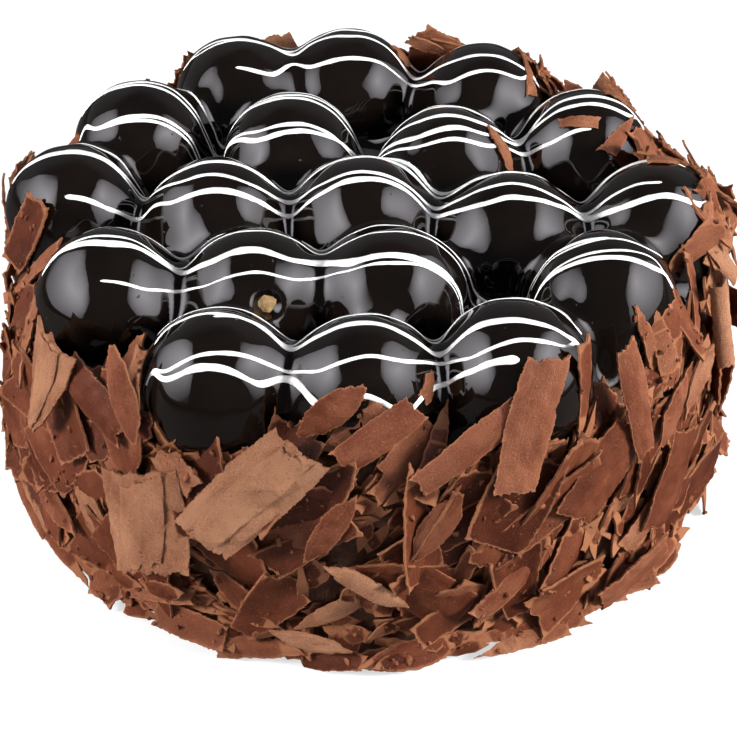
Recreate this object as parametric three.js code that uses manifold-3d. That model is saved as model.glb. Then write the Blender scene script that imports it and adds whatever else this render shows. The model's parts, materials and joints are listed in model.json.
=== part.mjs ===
// A round profiterole cake: a frosted drum coated with chocolate shavings, with nineteen glazed
// choux puffs packed on top and larger shavings leaning on its side.
// Units are millimetres and degrees, +Z is up, the origin is the middle of the flat base, and
// turn 0 is the front of the cake, on -Y.  Turns grow towards +X.
import * as THREE from 'three';
import { mergeVertices } from 'three/addons/utils/BufferGeometryUtils.js';
import Module from 'manifold-3d';

const wasm = await Module();
wasm.setup();

// Driving dimensions
const BODY_RADIUS = 111;
const BODY_HEIGHT = 66;
const SHOULDER_RADIUS = 7;
const COAT_RADIUS = 117;
const COAT_FOOT = 0.8;
const COAT_FLARE = 7;
const COAT_FLARE_HEIGHT = 9;
const COAT_LIP = 3;
const COAT_BANDS = 7;
const CREST_HEIGHT = 77;
const CREST_ROUND = 7;
const PUFF_RADIUS = 22;
const PUFF_CENTRE_HEIGHT = 82;
const PUFF_PITCH = 47.5;
const ROW_PITCH = 41;
const SIZE_UNEVENNESS = 0.03;
const SHAVING_THICKNESS = 1.1;
const CONTACT_GAP = 0.35;
const LOWEST_SHAVING = 0.4;
const SETTLE_STEP = 0.5;
const SETTLE_REACH = 25;
const PUFF_UNEVENNESS = 0.012;
const SEAT_FACET_REACH = 1.08;
const COAT_UNEVENNESS = 0.013;
const COAT_WAVES = 5;
const COAT_WAVE_HEIGHT = 9;
const CREST_UNEVENNESS = 2.5;
const CREST_WAVES = 6;

// The puffs are packed in rows, from the back of the cake to the front
const ROW_COUNTS = [3, 4, 5, 4, 3];

// Puffs that stand off their even place in a row: how far to the right, and how far towards the back.
// The fourth row has slipped to the left, which leaves a hollow before its last puff.
const SHIFTED_PUFFS = [
  { row: 0, place: 0, right: 4, back: 0 },
  { row: 0, place: 1, right: -4, back: 5 },
  { row: 0, place: 2, right: -5, back: -8 },
  { row: 1, place: 0, right: -5, back: 10 },
  { row: 1, place: 2, right: 5, back: -10 },
  { row: 1, place: 3, right: 5, back: 0 },
  { row: 2, place: 0, right: 0, back: 10 },
  { row: 2, place: 3, right: 0, back: -10 },
  { row: 2, place: 4, right: 0, back: -5 },
  { row: 3, place: 0, right: -8, back: 0 },
  { row: 3, place: 1, right: -10, back: 0 },
  { row: 3, place: 2, right: -15, back: 0 },
  { row: 3, place: 3, right: 4, back: -5 },
  { row: 4, place: 0, right: 4, back: -2 },
  { row: 4, place: 1, right: 0, back: -5 },
  { row: 4, place: 2, right: -3, back: 0 },
];

// size is a shaving's length and width.  spin turns its long axis from upright towards the right,
// lean tips its top towards the cake, curl is the arc of its cross-section and bow the sag of its
// ends: both are positive where the middle stands proud.
const KINDS = {
  slab: { form: 'plank', tone: 'dark', size: [34, 16], curl: 35, bow: 1 },
  strip: { form: 'plank', tone: 'mid', size: [32, 9], curl: 40, bow: 1 },
  blade: { form: 'leaf', tone: 'mid', size: [30, 10], curl: 40, bow: 1 },
  splinter: { form: 'leaf', tone: 'light', size: [26, 7], curl: 35, bow: 0.8 },
  scoop: { form: 'wedge', tone: 'light', size: [38, 18], curl: 40, bow: -1 },
  sheet: { form: 'plank', tone: 'light', size: [36, 20], curl: 40, bow: -0.8 },
};

// Shavings stepped evenly round the cake, the inner tiers first.  A tier takes its kinds and its
// spins in turn, and rises and falls by its sway.
const TIERS = [
  {
    kinds: ['slab', 'slab', 'blade'], spins: [-50, 35],
    count: 8, first: 8, step: 45, height: 32, sway: 6, lean: 3,
  },
  {
    kinds: ['splinter', 'strip'], spins: [-78, 80, -82],
    count: 7, first: -8, step: 51, height: 11, sway: 1.5, lean: -3,
  },
  {
    kinds: ['blade', 'scoop', 'slab', 'sheet'], spins: [20, -35, 10],
    count: 6, first: 102, step: 31, height: 76, sway: 4, lean: 14,
  },
];

// The shavings that stand out at the front, from the left round to the right
const FRONT_SHAVINGS = [
  { kind: 'blade', turn: -60, height: 60, size: [44, 13], spin: 20, lean: 6 },
  { kind: 'blade', turn: -38, height: 74, size: [36, 16], spin: -25, lean: 15 },
  { kind: 'slab', turn: -42, height: 80, size: [28, 12], spin: -70, lean: 18 },
  { kind: 'sheet', turn: -32, height: 47, size: [36, 30], spin: -10, lean: 8 },
  { kind: 'scoop', turn: -52, height: 76, size: [36, 22], spin: 10, lean: 12 },
  { kind: 'blade', turn: -36, height: 88, size: [30, 10], spin: -25, lean: 16 },
  { kind: 'blade', turn: -5, height: 55, size: [30, 8], spin: 30, lean: 5 },
  { kind: 'sheet', turn: -16, height: 66, size: [46, 20], spin: 40, lean: 16 },
  { kind: 'splinter', turn: 0, height: 35, size: [30, 7], spin: -55, lean: 3 },
  { kind: 'blade', turn: 10, height: 55, size: [26, 10], spin: 35, lean: 8 },
  { kind: 'strip', turn: 15, height: 80, size: [38, 8], spin: 60, lean: 18 },
  { kind: 'blade', turn: -5, height: 90, size: [25, 10], spin: 50, lean: 16 },
  { kind: 'strip', turn: 2, height: 85, size: [28, 9], spin: 55, lean: 24 },
  { kind: 'slab', turn: 36, height: 58, size: [34, 16], spin: 50, lean: 10 },
  { kind: 'sheet', turn: 24, height: 84, size: [42, 14], spin: 22, lean: 16 },
  { kind: 'strip', turn: 42, height: 78, size: [40, 8], spin: -5, lean: 12 },
  { kind: 'blade', turn: 52, height: 62, size: [24, 9], spin: 50, lean: 12 },
  { kind: 'sheet', turn: 70, height: 72, size: [34, 12], form: 'roll', curl: 250, bow: 0, spin: 5, lean: 12 },
];

const TONES = {
  light: new THREE.MeshStandardMaterial({ color: '#a87650', roughness: 0.6 }),
  mid: new THREE.MeshStandardMaterial({ color: '#855338', roughness: 0.55 }),
  dark: new THREE.MeshStandardMaterial({ color: '#653a26', roughness: 0.5 }),
};
const CREAM = new THREE.MeshStandardMaterial({ color: '#5a3626', roughness: 0.8 });
const COAT = new THREE.MeshStandardMaterial({ color: '#6f4530', roughness: 0.65 });
const GLAZED_CHOUX = new THREE.MeshStandardMaterial({ color: '#17110d', roughness: 0.06 });

const radians = THREE.MathUtils.degToRad;

// A smooth, repeatable unevenness between -1 and 1
function ripple(a, b, seed) {
  const broad = Math.sin(3.1 * a + 1.7 * b + seed) + Math.sin(-2.3 * a + 3.7 * b + 2.1 * seed);
  const fine = Math.sin(7.9 * a + 5.3 * b + 3.3 * seed) + Math.sin(6.1 * b - 9.7 * a + 1.3 * seed);
  return (broad + 0.6 * fine) / 3.2;
}

// The geometry's points with every repeated one joined, and nothing else
function bare(geometry) {
  const copy = geometry.clone();
  copy.deleteAttribute('normal');
  copy.deleteAttribute('uv');
  return mergeVertices(copy, 1e-3);
}

function toSolid(geometry, matrix = new THREE.Matrix4()) {
  const shape = bare(geometry).applyMatrix4(matrix);
  return new wasm.Manifold(new wasm.Mesh({
    numProp: 3,
    vertProperties: Float32Array.from(shape.attributes.position.array),
    triVerts: Uint32Array.from(shape.index.array),
  }));
}

function toGeometry(solid) {
  const mesh = solid.getMesh();
  const geometry = new THREE.BufferGeometry();
  geometry.setAttribute('position', new THREE.BufferAttribute(mesh.vertProperties, 3));
  geometry.setIndex(new THREE.BufferAttribute(mesh.triVerts, 1));
  geometry.computeVertexNormals();
  return geometry;
}

function largestPiece(solid) {
  return solid.decompose().reduce((best, piece) => (piece.volume() > best.volume() ? piece : best));
}

function named(geometry, material, name) {
  const mesh = new THREE.Mesh(geometry, material);
  mesh.name = name;
  return mesh;
}

// A turned solid standing on the base: its profile holds distances from the axis and heights
function turned(profile, sides) {
  return bare(new THREE.LatheGeometry(profile, sides)).rotateX(Math.PI / 2);
}

// Points of the drum's rounded shoulder, from its side up to its top, at an offset from the surface
function shoulder(offset, steps) {
  const points = [];
  for (let i = 0; i <= steps; i += 1) {
    const angle = (i / steps) * Math.PI / 2;
    const reach = SHOULDER_RADIUS + offset;
    points.push(new THREE.Vector2(
      BODY_RADIUS - SHOULDER_RADIUS + reach * Math.cos(angle),
      BODY_HEIGHT - SHOULDER_RADIUS + reach * Math.sin(angle),
    ));
  }
  return points;
}

function bodyGeometry() {
  const profile = [
    new THREE.Vector2(0, 0),
    new THREE.Vector2(BODY_RADIUS, 0),
    ...shoulder(0, 3),
    new THREE.Vector2(0, BODY_HEIGHT),
  ];
  return turned(profile, 48);
}

// Plan place and radius of every puff, row by row
function packedPuffs() {
  return ROW_COUNTS.flatMap((count, row) => Array.from({ length: count }, (_, place) => {
    const shift = SHIFTED_PUFFS.find((puff) => puff.row === row && puff.place === place);
    return {
      x: (place - (count - 1) / 2) * PUFF_PITCH + (shift?.right ?? 0),
      y: ((ROW_COUNTS.length - 1) / 2 - row) * ROW_PITCH + (shift?.back ?? 0),
      radius: PUFF_RADIUS * (1 + SIZE_UNEVENNESS * ripple(place, row, 2)),
    };
  }));
}

// A choux puff: an uneven ball, flat where it sits on the drum and where it presses on a neighbour
function puffGeometry(index, puffs) {
  const { x, y, radius } = puffs[index];
  const centre = new THREE.Vector3(x, y, PUFF_CENTRE_HEIGHT);
  const geometry = bare(new THREE.IcosahedronGeometry(radius, 2));
  const points = geometry.attributes.position;
  const point = new THREE.Vector3();
  for (let i = 0; i < points.count; i += 1) {
    point.fromBufferAttribute(points, i);
    point.multiplyScalar(1 + PUFF_UNEVENNESS * ripple(point.x / radius, (point.y + point.z) / radius, index));
    puffs.forEach((neighbour, other) => {
      if (other === index) return;
      const away = new THREE.Vector3(neighbour.x - x, neighbour.y - y, 0);
      const limit = away.length() * radius / (radius + neighbour.radius) - CONTACT_GAP / 2;
      away.normalize();
      const excess = point.dot(away) - limit;
      if (excess > 0) point.addScaledVector(away, -excess);
    });
    point.add(centre);
    point.z = Math.max(point.z, BODY_HEIGHT + CONTACT_GAP);
    points.setXYZ(i, point.x, point.y, point.z);
  }
  return geometry;
}

// A ball a little larger than a puff, to cut its seat in what lies against it
function puffSeat({ x, y, radius }) {
  const geometry = new THREE.IcosahedronGeometry((radius + CONTACT_GAP) * SEAT_FACET_REACH, 1);
  return toSolid(geometry, new THREE.Matrix4().makeTranslation(x, y, PUFF_CENTRE_HEIGHT));
}

// The coat's rounded crest, from its inner side over its top to its outer side
function crest(steps) {
  return Array.from({ length: steps + 1 }, (_, i) => {
    const angle = Math.PI * (1 - i / steps);
    return new THREE.Vector2(
      COAT_RADIUS - CREST_ROUND + CREST_ROUND * Math.cos(angle),
      CREST_HEIGHT - CREST_ROUND + CREST_ROUND * Math.sin(angle),
    );
  });
}

// The coat's outer side below the crest, in even bands down to its foot, where it flares
function coatSide() {
  const top = CREST_HEIGHT - CREST_ROUND;
  return Array.from({ length: COAT_BANDS }, (_, i) => {
    const height = top + (COAT_FOOT - top) * (i + 1) / COAT_BANDS;
    return new THREE.Vector2(COAT_RADIUS + COAT_FLARE * Math.exp(-height / COAT_FLARE_HEIGHT), height);
  });
}

// The packed shavings: an uneven sleeve round the drum that runs over its shoulder up to the puffs
function coatSolid(puffs) {
  const lip = new THREE.Vector2(BODY_RADIUS - SHOULDER_RADIUS - COAT_LIP, BODY_HEIGHT + CONTACT_GAP);
  const foot = new THREE.Vector2(BODY_RADIUS + CONTACT_GAP, COAT_FOOT);
  const outline = [foot, ...shoulder(CONTACT_GAP, 3), lip, ...crest(4), ...coatSide(), foot];
  const geometry = turned(outline.reverse(), 60);
  const points = geometry.attributes.position;
  const innerWall = (BODY_RADIUS + COAT_RADIUS) / 2;
  const crestFoot = CREST_HEIGHT - CREST_ROUND;
  for (let i = 0; i < points.count; i += 1) {
    const [x, y, z] = [points.getX(i), points.getY(i), points.getZ(i)];
    const turn = Math.atan2(y, x);
    const isOutside = Math.hypot(x, y) > innerWall;
    const grow = isOutside ? 1 + COAT_UNEVENNESS * ripple(COAT_WAVES * turn, z / COAT_WAVE_HEIGHT, 1) : 1;
    const lift = z > crestFoot ? CREST_UNEVENNESS * ripple(CREST_WAVES * turn, 0, 4) : 0;
    points.setXYZ(i, x * grow, y * grow, z + lift);
  }
  const seated = puffs.reduce((solid, puff) => solid.subtract(puffSeat(puff)), toSolid(geometry));
  return largestPiece(seated);
}

// Half of a shaving's width at a fraction of its length, as a share of its half width
const OUTLINES = {
  plank: (along) => 0.92 + 0.08 * Math.sin(9 * along),
  leaf: (along) => 0.16 + 0.84 * Math.sin(Math.PI * along) ** 0.7,
  wedge: (along) => 0.14 + 0.86 * along ** 0.75,
  chip: (along) => 0.35 + 0.65 * Math.sin(Math.PI * along) ** 0.5,
  roll: (along) => 0.96 + 0.04 * Math.sin(11 * along),
};

// A curved plate, its length upright and its outer face towards -Y.  swell thickens it all round.
function shavingGeometry({ form, size, curl, bow }, swell = 0) {
  const [length, width] = size;
  const alongCells = length > 27 ? 5 : 4;
  const flatCells = width > 12 ? 3 : 2;
  const acrossCells = form === 'roll' ? 6 : flatCells;
  const arcRadius = width / radians(curl);
  const halfThickness = SHAVING_THICKNESS / 2 + swell;
  const positions = [];
  for (const side of [1, -1]) {
    for (let i = 0; i <= alongCells; i += 1) {
      const along = i / alongCells;
      const half = (width / 2) * OUTLINES[form](along) + swell;
      for (let j = 0; j <= acrossCells; j += 1) {
        const across = 2 * (j / acrossCells) - 1;
        const angle = across * half / arcRadius;
        const reach = arcRadius + side * halfThickness;
        const slant = 0.08 * width * across * (form === 'plank' ? 1 : 0);
        positions.push(
          reach * Math.sin(angle),
          arcRadius - reach * Math.cos(angle) + bow * (2 * along - 1) ** 2,
          (along - 0.5) * (length + 2 * swell) + slant,
        );
      }
    }
  }
  const row = acrossCells + 1;
  const layer = row * (alongCells + 1);
  const triangles = [];
  const quad = (a, b, c, d) => triangles.push(a, b, c, a, c, d);
  for (let i = 0; i < alongCells; i += 1) {
    for (let j = 0; j < acrossCells; j += 1) {
      const corner = i * row + j;
      quad(corner, corner + 1, corner + row + 1, corner + row);
      quad(layer + corner, layer + corner + row, layer + corner + row + 1, layer + corner + 1);
    }
    const left = i * row;
    const right = left + acrossCells;
    quad(left, left + row, layer + left + row, layer + left);
    quad(right, layer + right, layer + right + row, right + row);
  }
  for (let j = 0; j < acrossCells; j += 1) {
    const top = alongCells * row + j;
    quad(j, layer + j, layer + j + 1, j + 1);
    quad(top, top + 1, layer + top + 1, layer + top);
  }
  const geometry = new THREE.BufferGeometry();
  geometry.setAttribute('position', new THREE.Float32BufferAttribute(positions, 3));
  geometry.setIndex(triangles);
  geometry.computeVertexNormals();
  return geometry;
}

// A shaving at a given distance from the axis, in a group that holds its turn round the cake
function placeShaving(shaving, radius, geometry, name) {
  const mesh = named(geometry, TONES[shaving.tone], name);
  mesh.position.set(0, -radius, shaving.height);
  mesh.rotation.set(radians(-shaving.lean), radians(shaving.spin), 0, 'XZY');
  const spoke = new THREE.Group();
  spoke.rotation.z = radians(shaving.turn);
  spoke.add(mesh);
  spoke.updateMatrixWorld(true);
  return spoke;
}

// Slides a shaving outwards until it is clear of everything already in place
function settle(shaving, obstacles, name) {
  const swollen = shavingGeometry(shaving, CONTACT_GAP);
  const plain = shavingGeometry(shaving);
  for (let out = 0; out < SETTLE_REACH; out += SETTLE_STEP) {
    const radius = BODY_RADIUS - SHOULDER_RADIUS + out;
    const trial = placeShaving(shaving, radius, swollen, name);
    const solid = toSolid(swollen, trial.children[0].matrixWorld);
    const blocked = obstacles.some((obstacle) => solid.intersect(obstacle).volume() > 0);
    if (!blocked) {
      const spoke = placeShaving(shaving, radius, plain, name);
      const placed = toSolid(plain, spoke.children[0].matrixWorld);
      if (placed.boundingBox().min[2] < LOWEST_SHAVING) throw new Error(`${name} reaches below the base`);
      obstacles.push(placed);
      return spoke;
    }
  }
  throw new Error(`${name} finds no room`);
}

function tierShavings({ kinds, spins, count, first, step, height, sway, lean }) {
  return Array.from({ length: count }, (_, i) => ({
    ...KINDS[kinds[i % kinds.length]],
    turn: first + step * i,
    height: height + sway * ripple(i, count, 3),
    spin: spins[i % spins.length],
    lean,
  }));
}

function allShavings() {
  const front = FRONT_SHAVINGS.map((shaving) => ({ ...KINDS[shaving.kind], ...shaving }));
  return [...TIERS.flatMap(tierShavings), ...front];
}

function numbered(stem, index) {
  return `${stem}_${String(index + 1).padStart(2, '0')}`;
}

function cake() {
  const group = new THREE.Group();
  const puffs = packedPuffs();
  const puffGeometries = puffs.map((_, i) => puffGeometry(i, puffs));
  const coat = coatSolid(puffs);
  group.add(named(bodyGeometry(), CREAM, 'cake_body'));
  group.add(named(toGeometry(coat), COAT, 'shavings_coat'));
  puffGeometries.forEach((geometry, i) => group.add(named(geometry, GLAZED_CHOUX, numbered('puff', i))));
  const obstacles = [toSolid(bodyGeometry()), coat, ...puffGeometries.map((geometry) => toSolid(geometry))];
  allShavings().forEach((shaving, i) => {
    group.add(settle(shaving, obstacles, numbered('shaving', i)));
  });
  return group;
}

export default cake();
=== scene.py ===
import json
import math

import bmesh
import bpy
import numpy as np
from mathutils import Matrix, Vector
from mathutils.geometry import convex_hull_2d, delaunay_2d_cdt


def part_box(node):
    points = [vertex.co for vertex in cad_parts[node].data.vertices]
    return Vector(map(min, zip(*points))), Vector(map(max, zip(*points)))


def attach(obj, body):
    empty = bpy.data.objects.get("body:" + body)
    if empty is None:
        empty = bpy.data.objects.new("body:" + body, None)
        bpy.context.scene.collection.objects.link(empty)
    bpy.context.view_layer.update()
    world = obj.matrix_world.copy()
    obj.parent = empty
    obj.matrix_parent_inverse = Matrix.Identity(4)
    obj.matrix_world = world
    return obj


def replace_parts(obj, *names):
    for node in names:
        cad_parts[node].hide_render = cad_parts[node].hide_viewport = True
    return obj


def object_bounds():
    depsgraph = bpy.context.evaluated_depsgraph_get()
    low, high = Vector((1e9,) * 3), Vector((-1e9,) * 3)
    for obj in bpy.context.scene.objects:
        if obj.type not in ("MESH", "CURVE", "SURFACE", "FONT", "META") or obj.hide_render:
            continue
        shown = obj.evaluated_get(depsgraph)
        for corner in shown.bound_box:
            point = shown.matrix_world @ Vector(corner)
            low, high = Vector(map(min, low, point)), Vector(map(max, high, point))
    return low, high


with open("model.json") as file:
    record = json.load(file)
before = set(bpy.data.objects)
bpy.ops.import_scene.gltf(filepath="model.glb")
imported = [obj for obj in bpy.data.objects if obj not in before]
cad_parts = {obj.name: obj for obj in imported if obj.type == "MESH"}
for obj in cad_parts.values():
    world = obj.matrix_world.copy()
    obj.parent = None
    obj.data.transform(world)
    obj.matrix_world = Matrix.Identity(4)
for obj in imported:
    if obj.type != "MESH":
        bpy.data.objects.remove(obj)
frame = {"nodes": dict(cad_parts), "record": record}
cad_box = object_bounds()

# The cake is worked out in millimetres and degrees and made in metres.  Turn 0 is the front of the
# cake, on -Y, and turns grow towards +X.
MM = 0.001


# ---------------------------------------------------------------- sizes taken from the frame

def box_mm(node):
    low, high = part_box(node)
    return np.array(low) / MM, np.array(high) / MM


def points_of(mesh):
    flat = np.empty(len(mesh.vertices) * 3)
    mesh.vertices.foreach_get("co", flat)
    return flat.reshape(-1, 3) / MM


def corners_of(node):
    """The different points of a node, in mm."""
    return np.unique(points_of(frame["nodes"][node].data).round(3), axis=0)


# How much of a puff, from its top down, is taken as part of a ball
PUFF_CAP = 14


def puff_ball(node):
    """Centre and radius of a puff: the ball that its upper part follows."""
    points = corners_of(node)
    upper = points[points[:, 2] > points[:, 2].max() - PUFF_CAP]
    design = np.column_stack([2 * upper, np.ones(len(upper))])
    fit = np.linalg.lstsq(design, (upper ** 2).sum(1), rcond=None)[0]
    return fit[:3], math.sqrt(fit[3] + (fit[:3] ** 2).sum())


BODY_LOW, BODY_HIGH = box_mm("cake_body")
BODY_RADIUS = (BODY_HIGH[0] - BODY_LOW[0]) / 2
BODY_TOP = BODY_HIGH[2]
PUFF_NODES = sorted(name for name in frame["nodes"] if name.startswith("puff_"))
SHAVING_NODES = sorted(name for name in frame["nodes"] if name.startswith("shaving_"))
PUFF_CENTRES, PUFF_RADII = map(np.array, zip(*(puff_ball(node) for node in PUFF_NODES)))
PUFF_HEIGHT = PUFF_CENTRES[:, 2].mean()


# ---------------------------------------------------------------- small tools

def waves(points, length, seed, count=7):
    """A smooth unevenness of about -1 to 1 in space, whose bumps are about length mm apart."""
    rng = np.random.default_rng(seed)
    total = np.zeros(points.shape[:-1])
    for _ in range(count):
        direction = rng.normal(size=points.shape[-1])
        direction /= np.linalg.norm(direction)
        total += np.sin(points @ direction * (2 * math.pi / length) + rng.uniform(0, 2 * math.pi))
    return total / math.sqrt(count)


def bumps(points, *layers):
    """Several layers of waves added up, each a (height, length, seed)."""
    return sum(height * waves(points, length, seed) for height, length, seed in layers)


def smooth(mesh):
    mesh.polygons.foreach_set("use_smooth", [True] * len(mesh.polygons))
    return mesh


def mesh_from(name, points, faces):
    """A smooth-shaded mesh from points in mm."""
    mesh = bpy.data.meshes.new(name)
    mesh.from_pydata((np.asarray(points) * MM).tolist(), [], np.asarray(faces).tolist())
    return smooth(mesh)


def ball_mesh(name, subdivisions):
    """A mesh of a ball, and its points on a radius of 1."""
    work = bmesh.new()
    bmesh.ops.create_icosphere(work, subdivisions=subdivisions, radius=1)
    mesh = bpy.data.meshes.new(name)
    work.to_mesh(mesh)
    work.free()
    return mesh, points_of(mesh) * MM


def put(name, data):
    """A new object in the scene."""
    thing = bpy.data.objects.new(name, data)
    bpy.context.scene.collection.objects.link(thing)
    return thing


def piece_from(mesh, name, material=None):
    piece = put(name, mesh)
    if material:
        mesh.materials.clear()
        mesh.materials.append(material)
    return piece


def store(mesh, name, kind, values, domain="POINT"):
    """Writes one value for each point, or edge, of a mesh."""
    attribute = mesh.attributes.new(name, kind, domain)
    key = "vector" if kind == "FLOAT_VECTOR" else "value"
    attribute.data.foreach_set(key, np.ascontiguousarray(values).ravel())


def close_holes(mesh):
    """Caps every open edge loop and turns all faces outwards."""
    work = bmesh.new()
    work.from_mesh(mesh)
    rims = [edge for edge in work.edges if edge.is_boundary]
    bmesh.ops.holes_fill(work, edges=rims, sides=0)
    bmesh.ops.recalc_face_normals(work, faces=work.faces)
    work.to_mesh(mesh)
    work.free()


# ---------------------------------------------------------------- building node trees

def start_tree(name, inputs):
    """A geometry tree with named inputs, each a (name, socket type, default)."""
    tree = bpy.data.node_groups.new(name, "GeometryNodeTree")
    tree.interface.new_socket("Geometry", in_out="INPUT", socket_type="NodeSocketGeometry")
    tree.interface.new_socket("Geometry", in_out="OUTPUT", socket_type="NodeSocketGeometry")
    for label, kind, default in inputs:
        socket = tree.interface.new_socket(label, in_out="INPUT", socket_type="NodeSocket" + kind)
        if default is not None:
            socket.default_value = default
    return tree, tree.nodes.new("NodeGroupInput").outputs


def add(tree, kind, links=(), **settings):
    """A node whose inputs, given by name or number, are linked to a socket or set to a value."""
    node = tree.nodes.new(kind)
    for key, value in settings.items():
        setattr(node, key, value)
    for key, source in dict(links).items():
        if isinstance(source, bpy.types.NodeSocket):
            tree.links.new(source, node.inputs[key])
        else:
            node.inputs[key].default_value = source
    return node


def get(tree, kind, links=(), **settings):
    """The first output of a new node."""
    return add(tree, kind, links, **settings).outputs[0]


def calculate(tree, operation, *values):
    return get(tree, "ShaderNodeMath", dict(enumerate(values)), operation=operation)


def split(tree, kind):
    """The X, Y and Z outputs of a field node that gives a vector."""
    return add(tree, "ShaderNodeSeparateXYZ", {0: get(tree, kind)}).outputs


def read(tree, name, kind="FLOAT"):
    return add(tree, "GeometryNodeInputNamedAttribute", {"Name": name}, data_type=kind).outputs["Attribute"]


def keep(tree, geometry, name, kind, value):
    links = {"Geometry": geometry, "Name": name, "Value": value}
    return get(tree, "GeometryNodeStoreNamedAttribute", links, data_type=kind, domain="POINT")


def place_forms(tree, forms, links):
    """Solid copies of a collection's forms on points, as the links say."""
    children = get(tree, "GeometryNodeCollectionInfo", {
        "Collection": forms, "Separate Children": True, "Reset Children": True})
    laid = get(tree, "GeometryNodeInstanceOnPoints", {
        "Instance": children, "Pick Instance": True, **links})
    return get(tree, "GeometryNodeRealizeInstances", {"Geometry": laid})


def finish_tree(tree, geometry, material):
    solid = get(tree, "GeometryNodeRealizeInstances", {"Geometry": geometry})
    dressed = get(tree, "GeometryNodeSetMaterial", {"Geometry": solid, "Material": material})
    add(tree, "NodeGroupOutput", {"Geometry": dressed})


def grow(source, tree, values, name):
    """Runs a tree on a source object with the given inputs and returns the result as a plain piece."""
    modifier = source.modifiers.new("grow", "NODES")
    modifier.node_group = tree
    for item in tree.interface.items_tree:
        if item.in_out == "INPUT" and item.name in values:
            modifier[item.identifier] = values[item.name]
    view = bpy.context.evaluated_depsgraph_get()
    mesh = bpy.data.meshes.new_from_object(source.evaluated_get(view), depsgraph=view)
    source.modifiers.remove(modifier)
    bpy.data.objects.remove(source)
    mesh.name = name
    return piece_from(mesh, name)


# ---------------------------------------------------------------- materials

class Paint:
    """Short calls for the nodes of one material."""

    def __init__(self, name, **constants):
        self.material = bpy.data.materials.new(name)
        self.material.use_nodes = True
        self.tree = self.material.node_tree
        self.shader = self.tree.nodes["Principled BSDF"]
        for key, value in constants.items():
            self.shader.inputs[key.replace("_", " ")].default_value = value

    def node(self, kind, links=(), **settings):
        return add(self.tree, kind, links, **settings)

    def here(self):
        return self.node("ShaderNodeTexCoord").outputs["Object"]

    def attribute(self, name, output="Fac"):
        return self.node("ShaderNodeAttribute", attribute_name=name).outputs[output]

    def scaled(self, vector, scale):
        return self.node("ShaderNodeMapping", {"Vector": vector, "Scale": scale}).outputs[0]

    def noise(self, vector, scale, detail=4.0, roughness=0.55):
        links = {"Vector": vector, "Scale": scale, "Detail": detail, "Roughness": roughness}
        return self.node("ShaderNodeTexNoise", links).outputs["Fac"]

    def ramp(self, value, *stops):
        """Stops are (position, value or colour)."""
        node = self.node("ShaderNodeValToRGB", {"Fac": value})
        elements = node.color_ramp.elements
        while len(elements) < len(stops):
            elements.new(0.5)
        for element, (position, shade) in zip(elements, stops):
            element.position = position
            element.color = (*shade, 1) if isinstance(shade, tuple) else (shade, shade, shade, 1)
        return node.outputs["Color"]

    def mix(self, share, first, second, blend="MIX"):
        first, second = ((*shade, 1) if isinstance(shade, tuple) else shade for shade in (first, second))
        links = {0: share, 6: first, 7: second}
        return self.node("ShaderNodeMix", links, data_type="RGBA", blend_type=blend).outputs[2]

    def math(self, operation, *values):
        return calculate(self.tree, operation, *values)

    def bump(self, height, distance, strength=1.0, below=None):
        links = {"Height": height, "Distance": distance, "Strength": strength}
        if below:
            links["Normal"] = below
        return self.node("ShaderNodeBump", links).outputs[0]

    def to(self, **links):
        for key, source in links.items():
            self.tree.links.new(source, self.shader.inputs[key.replace("_", " ")])
        return self.material


def glaze_paint():
    """Mirror chocolate glaze: nearly black, with a clear skin that is a touch uneven."""
    paint = Paint("mirror_glaze", Roughness=0.03, IOR=1.5)
    here = paint.here()
    cloud = paint.noise(here, 60.0, 3.0)
    colour = paint.ramp(cloud, (0.3, (0.0036, 0.0024, 0.0019)), (0.75, (0.0068, 0.0042, 0.0031)))
    pits = paint.ramp(paint.noise(here, 420.0, 2.0), (0.74, 0.0), (0.80, 1.0))
    skin = paint.bump(paint.noise(here, 95.0, 2.0), 0.0002, 0.10)
    return paint.to(Base_Color=colour, Normal=paint.bump(pits, -0.0003, 0.5, skin))


def drizzle_paint():
    """White chocolate, satin, a little thinner and greyer in places."""
    paint = Paint("white_drizzle", Roughness=0.28, IOR=1.45)
    here = paint.here()
    colour = paint.ramp(paint.noise(here, 260.0), (0.3, (0.88, 0.87, 0.85)), (0.7, (0.96, 0.955, 0.945)))
    return paint.to(Base_Color=colour, Normal=paint.bump(paint.noise(here, 500.0), 0.0003, 0.15))


def choux_paint():
    """Baked choux: golden with brown patches and a dry, pored crust."""
    paint = Paint("baked_choux", Roughness=0.62, IOR=1.4)
    here = paint.here()
    patches = paint.ramp(
        paint.noise(here, 90.0, 5.0),
        (0.3, (0.19, 0.100, 0.038)), (0.5, (0.33, 0.200, 0.085)), (0.72, (0.46, 0.320, 0.165)))
    pores = paint.noise(here, 900.0, 3.0)
    holes = paint.ramp(pores, (0.3, 0.25), (0.6, 0.9))
    return paint.to(Base_Color=paint.mix(0.35, patches, holes, "MULTIPLY"),
                    Normal=paint.bump(pores, 0.0006, 0.7))


def cream_paint():
    """Rough chocolate cream under the shavings, paler where it is smeared thin."""
    paint = Paint("chocolate_cream", Roughness=0.5, IOR=1.42, Specular_IOR_Level=0.3)
    here = paint.here()
    blotches = paint.noise(here, 120.0, 6.0, 0.65)
    colour = paint.ramp(
        blotches,
        (0.32, (0.050, 0.018, 0.010)), (0.52, (0.095, 0.038, 0.021)), (0.72, (0.17, 0.080, 0.046)))
    grains = paint.bump(paint.noise(here, 900.0, 4.0, 0.7), 0.0008, 0.8)
    return paint.to(Base_Color=colour, Normal=paint.bump(blotches, 0.002, 0.6, grains))


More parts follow.
